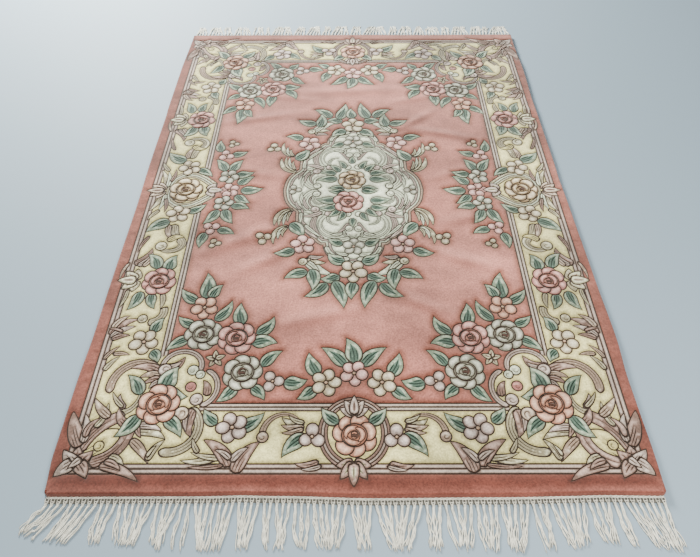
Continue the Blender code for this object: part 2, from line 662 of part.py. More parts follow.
def build_fringe(name, table, end, collection):
    """A fringe at the near end (-1) or the far end (1) of the rug."""
    straight = HALF_WIDTH - CORNER_RADIUS / 2
    rim = [p for p in edge_loop(0.0) if end * p[1] > HALF_LENGTH - CORNER_RADIUS / 2]
    rim = sorted(p for p in rim if abs(p[0]) < straight)
    rim = [(-EDGE_END, rim[0][1])] + rim[1:-1] + [(EDGE_END, rim[-1][1])]

    def placed(x, out):
        """A place at a distance out from the pile's end."""
        at = min(max(x, rim[0][0]), rim[-1][0])
        edge = float(np.interp(at, [p[0] for p in rim], [p[1] for p in rim]))
        return x, edge + end * (SEAT_GAP + out)

    knots = [(k + 0.5) * KNOT_PITCH - HALF_WIDTH for k in range(KNOTS)]
    sideways = [read_table(table, "knot", "sideways", k) for k in range(KNOTS)]
    reaches = [read_table(table, "knot", "reach", k) for k in range(KNOTS)]
    stray = [REACH_STRAY * STRAY_ORDER[k % len(STRAY_ORDER)] for k in range(KNOTS)]
    tips = [x + side for x, side in zip(knots, sideways)]
    loop = [placed(x, 0.0) for x, y in reversed(rim)]
    holes = []
    for k, x in enumerate(knots):
        left = tips[k] - tips[k - 1] if k else KNOT_PITCH
        right = tips[k + 1] - tips[k] if k < KNOTS - 1 else KNOT_PITCH
        halves = [min(LOCK_HALF_WIDTH, (room - LOCK_GAP) / 2) for room in (left, right)]
        if k:
            loop.append(placed(x - KNOT_PITCH / 2, VALLEY_OUT))
        lean = sideways[k] / (reaches[k] - KNOT_OUT)
        slant = stray[(k + TIP_SLANT_FROM) % KNOTS] * TIP_SLANT
        for px, out in lock_outline(x, lean, reaches[k] + stray[k], slant, *halves):
            loop.append(placed(px, out))
        base = [(x - HOLE_HALF_WIDTH, HOLE_OUT), (x + HOLE_HALF_WIDTH, HOLE_OUT), (x, HOLE_TIP_OUT)]
        holes.append(anticlockwise([placed(px, out) for px, out in base]))
    plan = Plan()
    plan.points = anticlockwise(loop) + [p for hole in holes for p in hole]
    outline = list(range(len(loop)))
    hole_numbers = [[len(loop) + 3 * k + i for i in range(3)] for k in range(KNOTS)]
    points, faces, _ = filled(plan, outline, hole_numbers)
    heights = []
    for x, y in points:
        out = abs(y - placed(x, 0.0)[1])
        heights.append(read_table(FRINGE_HEIGHTS, "out", "height", out))
    return raised(name, points, faces, heights, False, COTTON, collection)


def main():
    for old in list(bpy.data.objects):
        bpy.data.objects.remove(old, do_unlink=True)
    collection = bpy.data.collections.new("aubusson_rug")
    bpy.context.scene.collection.children.link(collection)
    build_pile(collection)
    build_fringe("fringe_front", NEAR_LOCKS, -1, collection)
    build_fringe("fringe_back", FAR_LOCKS, 1, collection)


main()
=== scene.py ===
# %% [markdown]
# # A carved wool rug, dressed for its picture
# The rug is a hand-tufted wool pile on a cotton back, with a flower pattern in two dozen dyed tones.
# After the tufting, a carver trims along every outline of the pattern with electric shears, so each
# petal stands up as a soft cushion between narrow channels. A knotted cotton fringe ends it.
# The CAD frame gives the rug's size and place. This lesson draws the pattern once as flat shapes, turns
# the drawing into a relief with the yarn's colour on it, and then ties the fringe.

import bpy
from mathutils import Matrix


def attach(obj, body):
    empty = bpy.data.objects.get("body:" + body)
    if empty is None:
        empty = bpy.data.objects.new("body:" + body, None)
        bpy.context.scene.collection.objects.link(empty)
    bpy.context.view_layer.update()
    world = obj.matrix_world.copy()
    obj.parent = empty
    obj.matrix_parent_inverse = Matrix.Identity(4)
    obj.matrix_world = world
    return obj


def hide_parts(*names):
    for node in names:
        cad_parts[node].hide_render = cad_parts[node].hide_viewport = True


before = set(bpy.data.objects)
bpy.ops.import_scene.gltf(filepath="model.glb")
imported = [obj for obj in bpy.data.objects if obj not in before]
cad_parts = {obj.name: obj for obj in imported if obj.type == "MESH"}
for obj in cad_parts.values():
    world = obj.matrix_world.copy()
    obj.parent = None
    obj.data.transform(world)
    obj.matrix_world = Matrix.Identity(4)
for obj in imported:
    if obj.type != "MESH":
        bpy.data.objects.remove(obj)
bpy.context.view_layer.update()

# %% Modules and a few small helpers
import math

import bpy
import numpy as np
from mathutils.geometry import delaunay_2d_cdt
from mathutils.kdtree import KDTree

draws = np.random.default_rng(11)


def table(columns, *rows):
    """Rows of values as dictionaries, keyed by the names of the columns."""
    return [dict(zip(columns.split(), row)) for row in rows]


def listed(columns, rows):
    """The same for a long table of words and whole numbers, with a semicolon between its rows."""
    words = [row.split() for row in rows.split(";")]
    return table(columns, *([int(w) if w.lstrip("-").isdigit() else w for w in row] for row in words))


def linear(code):
    """A colour's sRGB hex value, such as #d8cfb8, as linear red, green and blue."""
    parts = [int(code[k:k + 2], 16) / 255 for k in (1, 3, 5)]
    return [c / 12.92 if c <= 0.04045 else ((c + 0.055) / 1.055) ** 2.4 for c in parts]


def smooth_step(value):
    """Nothing below 0, all above 1, and a soft change between."""
    value = np.clip(value, 0.0, 1.0)
    return value * value * (3 - 2 * value)


def divided(line, step):
    """A closed line with points added so that its edges are about a step long."""
    points = []
    for (ax, ay), (bx, by) in zip(line, line[1:] + line[:1]):
        steps = max(1, round(math.dist((ax, ay), (bx, by)) / step))
        points += [(ax + (bx - ax) * k / steps, ay + (by - ay) * k / steps) for k in range(steps)]
    return points


def search_tree(numbered):
    """A tree that finds the nearest of some numbered points."""
    tree = KDTree(len(numbered))
    for k, (x, y) in numbered:
        tree.insert((x, y, 0.0), k)
    tree.balance()
    return tree


# %% [markdown]
# ## The outline and the ripples
# The pile isn't a true rectangle: its sides sway by a centimetre, and some soft ripples cross it. These
# tables repeat the part's own values, in metres, so that the dressed rug fills the same space. The last
# eight ripples are fainter folds of the cloth, under three millimetres high, that the part leaves out.

# %% The rug's measures
PILE_WIDTH = 1.70
PILE_LENGTH = 2.40
PILE_HEIGHT = 0.016
HALF_WIDTH = PILE_WIDTH / 2
HALF_LENGTH = PILE_LENGTH / 2
CORNER_RADIUS = 0.016
SIDE_SWAY = table(
    "along left right",
    (-1.20, 0.005, 0.006), (-1.08, 0.015, 0.008), (-0.85, 0.016, 0.006), (-0.70, 0.012, 0.013),
    (-0.45, 0.013, 0.008), (-0.10, 0.011, 0.004), (0.20, 0.015, -0.003), (0.50, 0.013, -0.002),
    (0.55, 0.015, 0.001), (0.85, 0.014, -0.006), (1.20, 0.005, 0.002),
)
END_SWAY = table(
    "across near far",
    (-0.85, -0.004, 0.000), (-0.45, -0.003, 0.002), (-0.20, 0.002, 0.001),
    (0.05, 0.008, 0.002), (0.35, 0.006, 0.000), (0.85, -0.002, -0.002),
)
RIPPLES = table(
    "x y turn length width height",
    (-0.42, 0.47, 12, 0.30, 0.045, 0.0040), (0.28, 0.45, 38, 0.20, 0.040, 0.0050),
    (0.38, 0.36, -14, 0.28, 0.040, 0.0040), (0.77, 0.53, 4, 0.14, 0.040, 0.0060),
    (-0.42, -0.27, 24, 0.34, 0.060, 0.0050), (-0.30, -0.36, 30, 0.22, 0.050, 0.0040),
    (0.40, -0.37, -20, 0.20, 0.050, 0.0030), (-0.02, 0.68, 3, 0.50, 0.060, 0.0030),
    (0.44, -0.16, 16, 0.22, 0.045, 0.0026), (-0.43, 0.10, -10, 0.26, 0.050, 0.0026),
    (0.42, 0.10, 22, 0.22, 0.045, 0.0026), (-0.12, -0.62, 14, 0.30, 0.045, 0.0026),
    (0.22, -0.56, -24, 0.24, 0.040, 0.0028), (-0.30, 0.63, -12, 0.22, 0.045, 0.0026),
    (-0.46, -0.10, 34, 0.20, 0.045, 0.0026), (0.30, 0.62, 16, 0.20, 0.040, 0.0028),
)


def read_table(rows, key, value, at):
    """A smooth reading of one column of a table at a place between its rows."""
    places = [row[key] for row in rows]
    at = np.clip(at, places[0], places[-1])
    k = np.clip(np.searchsorted(places, at) - 1, 0, len(places) - 2)
    low, high = np.take(places, k), np.take(places, k + 1)
    first, last = (np.take([row[value] for row in rows], m) for m in (k, k + 1))
    return first + (last - first) * smooth_step((at - low) / (high - low))


def swayed(x, y):
    """A point by the true rectangle's edge, moved out by the sway of its side and its end."""
    side = "left" if x < 0 else "right"
    end = "near" if y < 0 else "far"
    out_x = float(read_table(SIDE_SWAY, "along", side, y)) * abs(x) / HALF_WIDTH
    out_y = float(read_table(END_SWAY, "across", end, x)) * abs(y) / HALF_LENGTH
    return x + math.copysign(out_x, x), y + math.copysign(out_y, y)


def edge_line(inset, step=0.006):
    """The pile's outline, anticlockwise, drawn in by an inset."""
    wide, long = HALF_WIDTH - CORNER_RADIUS, HALF_LENGTH - CORNER_RADIUS
    reach = max(CORNER_RADIUS - inset, 0.004)
    pull = CORNER_RADIUS - inset - reach
    line = []
    for i, (cx, cy) in enumerate([(wide, -long), (wide, long), (-wide, long), (-wide, -long)]):
        for turn in (-90, -72, -54, -36, -18, 0):
            angle = math.radians(turn + 90 * i)
            x, y = cx + reach * math.cos(angle), cy + reach * math.sin(angle)
            line.append((x + math.copysign(pull, x), y + math.copysign(pull, y)))
    return [swayed(x, y) for x, y in divided(line, step)]


def ripple_height(x, y):
    """The height of the soft ripples at some points, in metres."""
    total = np.zeros(len(x))
    for row in RIPPLES:
        turn = math.radians(row["turn"])
        run = (x - row["x"]) * math.cos(turn) + (y - row["y"]) * math.sin(turn)
        off = (y - row["y"]) * math.cos(turn) - (x - row["x"]) * math.sin(turn)
        total += row["height"] * np.exp(-(2 * run / row["length"]) ** 2 - (2 * off / row["width"]) ** 2)
    return total


print("pile outline", len(edge_line(0.0)), "points")

# %% [markdown]
# ## The yarns
# The mill dyed its yarns in soft, slightly greyed colours: rose pink for the field, cream for the
# border, sage for the leaves with strokes of teal, and mauve for the scrolls. Where the pile is cut
# away, the shaded roots of the tufts show, so the channels take a dark mauve brown.
# Each yarn has a colour for the middle of a shape and a darker one for its rim by the channels, where
# the pile leans over; that darkening towards the rim is painted shade.

# %% The yarns' colours
YARNS = table(
    "yarn middle rim reach",
    ("field", "#c9867a", "#a36656", 22),
    ("margin", "#b47366", "#93594b", 16),
    ("cream", "#f8eda8", "#d0c284", 12),
    ("pale", "#f2f5da", "#cbd0b5", 5),
    ("outer_rule", "#cfbcb0", "#90786c", 5),
    ("inner_rule", "#dacbbd", "#9a8778", 5),
    ("mauve", "#c6a89b", "#876a5e", 5),
    ("lilac", "#dccbc0", "#aa968a", 5),
    ("blush", "#e6d3be", "#a58c78", 5),
    ("straw", "#ece6c6", "#aea384", 5),
    ("sage", "#bfcab1", "#84937b", 6),
    ("teal", "#71897a", "#53695b", 4),
    ("pink_petal", "#f6cfc8", "#c08a82", 9),
    ("rose_petal", "#ebb8ad", "#ab7068", 9),
    ("peach_petal", "#ecc0a6", "#aa745f", 9),
    ("cream_petal", "#f3e9cf", "#ab9878", 9),
    ("grey_petal", "#dbdac9", "#8a8876", 9),
    ("lilac_petal", "#ead9d0", "#9b847a", 9),
    ("tan_petal", "#f0debe", "#a58963", 9),
    ("deep_rose", "#b87c6c", "#8c5a4b", 5),
    ("deep_peach", "#bf8468", "#925d48", 5),
    ("deep_grey", "#9b9785", "#767161", 5),
    ("deep_tan", "#b99a72", "#8f7350", 5),
    ("heart", "#5c3d30", "#4c3026", 4),
    ("seed", "#d6b89c", "#9c7a60", 4),
    ("channel", "#3a2a22", "#3a2a22", 1),
    ("soft_channel", "#544f47", "#544f47", 1),
    ("leaf_vein", "#24382f", "#24382f", 1),
)
YARN = {row["yarn"]: k for k, row in enumerate(YARNS)}
MIDDLES = np.array([linear(row["middle"]) for row in YARNS])
# The rim colours: painted shade for the pile beside the channels.
SHADED_RIMS = np.array([linear(row["rim"]) for row in YARNS])
REACHES = np.array([row["reach"] for row in YARNS], float)
CUT_YARNS = (YARN["channel"], YARN["soft_channel"], YARN["leaf_vein"])
print(len(YARNS), "yarns")

# %% [markdown]
# ## Drawing with closed lines
# The pattern is a stack of closed lines, as in a painter's order: a later shape hides what lies under
# it. Every outlined shape is drawn three times, a little large, true and a little small. The ring
# between the large and the small one is the carved channel, and its true line is the channel's bottom.
# The drawing is in millimetres. The design repeats in four quarters, so tables give places in one of
# them: across, from the long centre line to a side, and along, from the middle to an end.

# %% A drawing
STEP = 4.6
CHANNEL = 2.1
VEIN = 1.7
FINE_VEIN = 1.3
SCROLLWORK = (258, 362)
ROSE_GROUND = (75, 128)


class Drawing:
    """Closed lines in millimetres, in painter's order, each with its yarn."""

    def __init__(self):
        self.lines = []
        self.areas = []
        self.yarns = []
        self.hearts = []
        self.creases = []

    def crease(self, path, closed=False):
        """A line that only gives a channel its bottom."""
        points = [tuple(p) for p in path]
        self.creases.append(points + points[:1] if closed else points)

    def fill(self, line, yarn, heart=None):
        turned = sum(ax * by - bx * ay for (ax, ay), (bx, by) in zip(line, line[1:] + line[:1]))
        self.lines.append(line if turned > 0 else line[::-1])
        self.areas.append(abs(turned) / 2)
        self.yarns.append(YARN[yarn])
        self.hearts.append(heart or (0.0, 0.0, 0.0))


rug = Drawing()


def channel_at(line):
    """The channels' yarn: paler among the medallion's scrolls, which are cream on cream."""
    x, y = np.mean(line, axis=0)
    in_scrolls = (x / SCROLLWORK[0]) ** 2 + (y / SCROLLWORK[1]) ** 2 < 1
    by_roses = abs(x) < ROSE_GROUND[0] and abs(y) < ROSE_GROUND[1]
    return "soft_channel" if in_scrolls and not by_roses else "channel"


def outlined(put, form, yarn, channel=CHANNEL, heart=None):
    """A shape in its yarn, with a carved channel round it."""
    outside = put(form(channel))
    rug.fill(outside, channel_at(outside))
    rug.crease(put(form(0.0)), True)
    rug.fill(put(form(-channel)), yarn, heart)


def carved(put, path, half=VEIN, yarn=None):
    """A carved stroke along a path."""
    line = put(band_form(path, 2 * half, "horn")(0.0))
    rug.fill(line, yarn or channel_at(line))
    rug.crease(put(path[1:-1]))


def placed(i, j, shift=(0.0, 0.0)):
    """A function that carries a quarter's line to the quarter with signs i and j."""
    return lambda line: [(i * x + shift[0], j * y + shift[1]) for x, y in line]


def quarters(row):
    """The signs that carry a row of a table to all the quarters, once each."""
    across, along = ((1, -1) if row[key] else (1,) for key in ("across", "along"))
    return [(i, j) for i in across for j in along]


def repeated(rows, draw, stray=1.3):
    """Draws every row in each quarter, with a small stray, because hands drew it there anew."""
    for row in rows:
        for i, j in quarters(row):
            draw(placed(i, j, draws.normal(0.0, stray, 2)), row)


# %% Forms: discs and bands
PROFILES = {
    "leaf": lambda t: 3.015 * t ** 0.58 * (1 - t) ** 1.15,
    "finger": lambda t: 2.03 * t ** 0.35 * (1 - t) ** 0.8,
    "band": lambda t: np.minimum(1.0, np.minimum(t, 1 - t) / 0.07) ** 0.5,
    "tail": lambda t: np.minimum(1.0, t / 0.07) ** 0.5 * (1 - t) ** 0.55,
    "horn": lambda t: np.sin(math.pi * t) ** 0.7,
    "spike": lambda t: 1.9 * t ** 0.25 * (1 - t) ** 0.85,
}


def disc_form(x, y, radius, long=None, turn=0.0):
    """A disc or an oval."""
    def form(grow):
        a, b = radius + grow, (long or radius) + grow
        count = max(7, round(2 * math.pi * max(a, b) / STEP))
        turns = np.arange(count) * 2 * math.pi / count
        dx, dy = a * np.cos(turns), b * np.sin(turns)
        c, s = math.cos(turn), math.sin(turn)
        return list(zip(x + dx * c - dy * s, y + dx * s + dy * c))
    return form


def leftwards(path):
    """The direction to a path's left, at each of its points."""
    run = np.gradient(path, axis=0)
    run /= np.hypot(run[:, 0], run[:, 1])[:, None]
    return np.column_stack([-run[:, 1], run[:, 0]])


def band_form(path, width, shape="band"):
    """A band along a path of points, as wide as its profile says."""
    path = np.array(path, float)
    gaps = np.hypot(*np.diff(path, axis=0).T)
    reach = np.concatenate([[0.0], np.cumsum(gaps)])
    ends = [(path[0] - path[1]) / gaps[0], (path[-1] - path[-2]) / gaps[-1]]

    def form(grow):
        spare = 1.25 * grow
        count = max(4, round((reach[-1] + 2 * spare) / STEP))
        share = np.linspace(0.0, 1.0, count + 1)
        s = -spare + (reach[-1] + 2 * spare) * share
        middle = np.column_stack([np.interp(s, reach, path[:, k]) for k in (0, 1)])
        middle += np.outer(np.maximum(-s, 0), ends[0]) + np.outer(np.maximum(s - reach[-1], 0), ends[1])
        half = np.maximum(width / 2 + grow, 0.2) * PROFILES[shape](share)
        side = leftwards(middle) * half[:, None]
        left, right = middle + side, middle - side
        line = np.vstack([right, left[-2:0:-1]])
        return [tuple(p) for p in line]
    return form


def bent(ax, ay, bx, by, bend, count=13):
    """A path from one point to another that bows out to its left by a bend."""
    share = np.linspace(0.0, 1.0, count)
    length = math.dist((ax, ay), (bx, by))
    nx, ny = -(by - ay) / length, (bx - ax) / length
    bow = 4 * bend * share * (1 - share)
    return np.column_stack([ax + (bx - ax) * share + nx * bow, ay + (by - ay) * share + ny * bow])


def turned(x, y, wide, long, start, sweep):
    """A path along the arc of a circle or an oval."""
    turns = np.radians(start + sweep * np.linspace(0.0, 1.0, max(8, round(abs(sweep) / 8))))
    return np.column_stack([x + wide * np.cos(turns), y + long * np.sin(turns)])


def beside(path, off):
    """A path that runs beside another."""
    return path + off * leftwards(path)


def cut_short(path, first, last):
    """The stretch of a path between two shares of its points."""
    n = len(path)
    return path[int(first * n):max(int(last * n), int(first * n) + 3)]


print("forms ready")

# %% [markdown]
# ## The pattern's motifs
# Five motifs make nearly the whole pattern. A leaf is a pale blade with a teal wedge and two dark
# strokes. A blossom is a ring of round petals. A rose adds a bowl of inner petals. A scroll is a band
# with fine lines along it, and a finger is one blade of an acanthus leaf.

# %% The motifs
LEAF_FULLNESS = 1.22
LEAF_LENGTH = 1.08
LEAF_STROKES = table(
    "off first last half", (0.0, 0.04, 0.80, 2.0), (0.19, 0.08, 0.56, VEIN), (-0.19, 0.08, 0.56, VEIN),
)
ROSE_WRAPS = table(
    "first sweep reach width", (0, 165, 0.40, 0.26), (118, 160, 0.38, 0.27), (242, 150, 0.37, 0.25),
)


def draw_leaf(put, row):
    """A curved leaf with a teal wedge and dark strokes beside it."""
    x, y = row["across"], row["along"]
    tip_x, tip_y = x + (row["tip_across"] - x) * LEAF_LENGTH, y + (row["tip_along"] - y) * LEAF_LENGTH
    path = bent(x, y, tip_x, tip_y, 1.5 * row.get("bend", 4))
    width = row["width"] * LEAF_FULLNESS
    outlined(put, band_form(path, width, "leaf"), "sage")
    rug.fill(put(band_form(cut_short(path, 0.02, 0.84), width * 0.56, "leaf")(0.0)), "teal")
    for stroke in LEAF_STROKES:
        piece = cut_short(path, stroke["first"], stroke["last"])
        carved(put, beside(piece, stroke["off"] * width), stroke["half"], "leaf_vein")


def draw_blossom(put, row):
    """A ring of round petals about a small knot."""
    x, y, radius, petals = row["across"], row["along"], row["radius"], row["petals"]
    start = row.get("turn", 90) + draws.uniform(-7, 7)
    middle = put([(x, y)])[0]
    for k in range(petals):
        turn = math.radians(start + 360 * k / petals)
        out = radius * (0.57 if petals > 3 else 0.50) * draws.uniform(0.95, 1.05)
        size = radius * (0.44 if petals > 3 else 0.48)
        at = (x + out * math.cos(turn), y + out * math.sin(turn))
        form = disc_form(*at, size * draws.uniform(0.96, 1.06), size * draws.uniform(0.90, 1.0), turn)
        outlined(put, form, row["yarn"], heart=(*middle, radius * 0.85))
    outlined(put, disc_form(x, y, radius * 0.15), "seed", 1.9)


def draw_rose(put, row):
    """A rose from above: broad outer petals, a deep bowl, and petals wrapped round a dark heart."""
    x, y, radius, yarn = row["across"], row["along"], row["radius"], row["yarn"]
    middle = put([(x, y)])[0]
    start = draws.uniform(0, 51)

    def petal(turn, out, wide, long, channel, reach):
        """An oval petal that stands across its direction from the middle."""
        turn = math.radians(turn)
        at = (x + radius * out * math.cos(turn), y + radius * out * math.sin(turn))
        form = disc_form(*at, radius * wide, radius * long, turn)
        outlined(put, form, yarn, channel, (*middle, radius * reach))

    def wrap(first, sweep, reach, width):
        """A petal seen on edge, as a crescent about the heart."""
        path = turned(x, y, radius * reach, radius * reach * 0.9, start + first, sweep)
        outlined(put, band_form(path, radius * width, "horn"), yarn, 1.5)

    for k in range(7):
        petal(start + 51.4 * k + draws.uniform(-6, 6), draws.uniform(0.60, 0.66), 0.38, 0.43, CHANNEL, 0.88)
    outlined(put, disc_form(x, y, radius * 0.57, radius * 0.53), row["bowl"], 2.2)
    for petal_row in ROSE_WRAPS:
        wrap(**petal_row)
    at = (x + radius * 0.03 * math.cos(math.radians(start)), y - radius * 0.03)
    rug.fill(put(disc_form(*at, radius * 0.23, radius * 0.19, math.radians(start + 40))(0.0)), "heart")
    wrap(150, 170, 0.13, 0.12)
    wrap(10, 110, 0.15, 0.09)


def draw_scroll(put, row):
    """A scroll's band with carved lines along it."""
    path = turned(*(row[key] for key in ("across", "along", "wide", "long", "start", "sweep")))
    shape, lines = row["shape"], row["lines"]
    outlined(put, band_form(path, row["band"], shape), row["yarn"])
    for k in range(lines):
        off = row["band"] * ((k + 1) / (lines + 1) - 0.5)
        carved(put, beside(cut_short(path, 0.06, 0.84 if shape == "tail" else 0.94), off), FINE_VEIN)


STROKE_WIDTHS = (13, 23, 32, 42)


def draw_finger(put, row):
    """A blade of acanthus; the wider it is, the more strokes run along it."""
    path = bent(row["across"], row["along"], row["tip_across"], row["tip_along"], row["bend"])
    shape, width = row.get("shape", "finger"), row["width"]
    outlined(put, band_form(path, width, shape), row["yarn"])
    lines = sum(width > limit for limit in STROKE_WIDTHS)
    last = 0.92 if shape == "band" else 0.74
    for k in range(lines):
        off = width * 0.88 * ((k + 1) / (lines + 1) - 0.5)
        carved(put, beside(cut_short(path, 0.07, last - 1.1 * abs(off) / width), off), FINE_VEIN)


def draw_ball(put, row):
    """The round end of a scroll, with a spiral stroke in it."""
    x, y, radius = row["across"], row["along"], row["radius"]
    outlined(put, disc_form(x, y, radius), row["yarn"])
    turns = np.linspace(0.0, 1.0, 14)
    angle = math.radians(row.get("turn", 0)) + turns * 4.6
    reach = radius * (0.62 - 0.5 * turns)
    carved(put, np.column_stack([x + reach * np.cos(angle), y + reach * np.sin(angle)]), 1.2)


def draw_palmette(put, row):
    """Blades that fan out from one point, the middle one last, with a small core."""
    x, y, radius, blades = row["across"], row["along"], row["radius"], row["blades"]
    order = sorted(range(blades), key=lambda k: -abs(k - (blades - 1) / 2))
    for k in order:
        whole = row["spread"] == 360
        share = k / blades if whole else k / (blades - 1) - 0.5
        turn = math.radians(row["turn"] + row["spread"] * share)
        reach = radius * (1.0 if whole else 1.0 - 0.44 * abs(share))
        path = bent(x, y, x + reach * math.cos(turn), y + reach * math.sin(turn), 0.0)
        outlined(put, band_form(path, radius * row["width"], "finger"), row["yarn"])
        inner = cut_short(path, 0.2, 0.75)
        rug.fill(put(band_form(inner, radius * row["width"] * 0.4, "finger")(0.0)), row["core"])
        carved(put, inner, 1.2)


print("motifs ready")

# %% [markdown]
# ## The ground of the pattern
# From the edge inwards: a pink margin, a rule of two mauve lines, the cream border, a second rule, and
# the pink field with the medallion in it. These are plain nested outlines.

# %% Rules and grounds
OUTER_RULE = (818, 1145)
INNER_RULE = (622, 957)
RULE_LINES = (0, 14, 28)
INNER_LINES = (0, 12, 24)


def rectangle(across, along):
    return divided([(across, -along), (across, along), (-across, along), (-across, -along)], STEP)


def draw_rule(rule, gaps, band, inside):
    """Three carved lines round the rug with two bands between them, and the ground inside them."""
    across, along = rule
    for k, gap in enumerate(gaps):
        rug.fill(rectangle(across - gap + CHANNEL, along - gap + CHANNEL), "channel")
        rug.crease(rectangle(across - gap, along - gap), True)
        yarn = band if k < len(gaps) - 1 else inside
        middle = gap + gaps[1] / 2
        rug.crease(rectangle(across - middle, along - middle), True)
        rug.fill(rectangle(across - gap - CHANNEL, along - gap - CHANNEL), yarn)


rug.fill([(1000 * x, 1000 * y) for x, y in edge_line(0.0)], "margin")
draw_rule(OUTER_RULE, RULE_LINES, "outer_rule", "cream")
draw_rule(INNER_RULE, INNER_LINES, "inner_rule", "field")
CORNER_GROUNDS = table(
    "across along radius",
    (545, 805, 58), (478, 880, 56), (548, 868, 78), (540, 960, 74), (600, 930, 80), (590, 800, 36),
)
for row in CORNER_GROUNDS:
    for i, j in quarters(row):
        rug.fill(placed(i, j)(disc_form(row["across"], row["along"], row["radius"])(0.0)), "cream")

# %% The medallion's outline
MEDALLION = table(
    "across along bulge steps",
    (272, 0, 16, 12), (222, 112, 0, 1), (214, 122, 0, 4), (212, 184, 0, 2), (204, 194, 0, 8),
    (130, 278, 0, 2), (120, 286, 0, 2), (104, 285, 3, 4), (94, 330, 4, 4), (66, 362, 4, 3), (32, 380, 1, 3),
    (0, 385, 0, 0),
)


def medallion_line(spread):
    """The medallion's outline, anticlockwise, moved outwards by spread."""
    quarter = []
    for row, after in zip(MEDALLION, MEDALLION[1:]):
        for k in range(row["steps"]):
            share = k / row["steps"]
            out = row["bulge"] * math.sin(math.pi * share) / math.sqrt(2)
            x = row["across"] + (after["across"] - row["across"]) * share + out
            y = row["along"] + (after["along"] - row["along"]) * share + out
            quarter.append((x, y))
    half = quarter + [(0.0, MEDALLION[-1]["along"])] + [(-x, y) for x, y in reversed(quarter)]
    line = np.array(half + [(x, -y) for x, y in reversed(half[1:-1])])
    run = np.roll(line, -1, axis=0) - np.roll(line, 1, axis=0)
    run /= np.hypot(run[:, 0], run[:, 1])[:, None]
    return divided([tuple(p) for p in line + spread * np.column_stack([run[:, 1], -run[:, 0]])], STEP)


RINGS = table(
    "out band cut", (11, "blush", "channel"), (0, "pale", "channel"), (-10, "lilac", "soft_channel"),
    (-20, "pale", "soft_channel"),
)
for row in RINGS:
    out, band = row["out"], row["band"]
    rug.fill(medallion_line(out + CHANNEL), row["cut"])
    rug.crease(medallion_line(out), True)
    rug.fill(medallion_line(out - CHANNEL), band)
print(len(rug.lines), "lines so far")

# %% [markdown]
# ## Scrolls and acanthus
# Mauve and cream scrolls fill the corners, frame the roses in the middle of each border and wind
# through the medallion. They lie under the flowers, so they are drawn first.

# %% Frames round the roses of the border
def draw_frame(middle, wide, long, bands, ground):
    """Nested ovals: carved lines with bands between them, and a ground inside."""
    for j in (1, -1):
        put = placed(1, j) if middle[1] else placed(j, 1)
        gap = 0.0
        for yarn in (*bands, ground):
            outlined(put, disc_form(*middle, wide - gap, long - gap), yarn, 1.9)
            gap += 9.0


draw_frame((0, 1025), 106, 112, ("mauve", "lilac", "mauve"), "cream")
SIDE_FRAME = table(
    "inset yarn", (0, "straw"), (12, "pale"), (22, "straw"), (32, "cream"),
)


def almond_form(inset):
    """The pointed frame round a rose at the side."""
    def form(grow):
        size = 1 - (inset - grow) / 106
        quarter = [(756, 0), (756, 40), (742, 78), (712, 102), (676, 109), (636, 100), (598, 76), (556, 40)]
        upper = [(676 + (x - 676) * size, y * size) for x, y in quarter]
        return divided(upper + [(x, -y) for x, y in reversed(upper[1:])], STEP)
    return form


for i in (1, -1):
    for row in SIDE_FRAME:
        outlined(placed(i, 1), almond_form(row["inset"]), row["yarn"], 1.7)

# %% Scrolls
SCROLLS = listed("yarn across along wide long start sweep band lines shape", """
    straw 700 905 46 56 80 150 20 1 tail; blush 675 874 78 80 18 -160 27 2 band;
    lilac 545 805 62 54 -202 210 17 1 band; lilac 475 880 52 60 -100 -162 17 1 band;
    straw 537 1008 79 75 236 -164 27 2 band; blush 205 1030 62 62 6 -157 20 1 tail;
    straw 686 290 45 34 238 -235 34 3 tail; straw 690 598 46 42 208 -118 27 2 band;
    lilac 150 66 36 44 -120 210 26 2 band; pale 128 66 66 60 -80 196 30 2 band;
    pale 132 50 28 30 -90 240 15 1 tail; lilac 66 190 92 84 60 -110 24 2 horn;
    pale 66 192 64 60 128 -222 30 2 tail; pale 60 162 40 34 -30 120 14 1 tail;
    pale 20 296 80 68 4 92 18 1 band; pale 10 236 26 24 -60 220 13 1 tail
""")
repeated(SCROLLS, draw_scroll)
BALLS = listed("yarn across along radius turn", """
    pale 508 820 18 0; lilac 596 818 21 200; pale 482 836 15 90; lilac 480 921 20 30;
    blush 517 966 22 120; cream 740 1065 15 60; blush 268 1037 17 0; straw 716 300 22 40;
    straw 710 625 17 0; pale 148 24 16 0; pale 18 214 15 0; lilac 98 136 15 90;
    lilac 152 112 17 30; rose_petal 503 876 17 0; straw 185 375 17 0; pale 20 138 14 0
""")

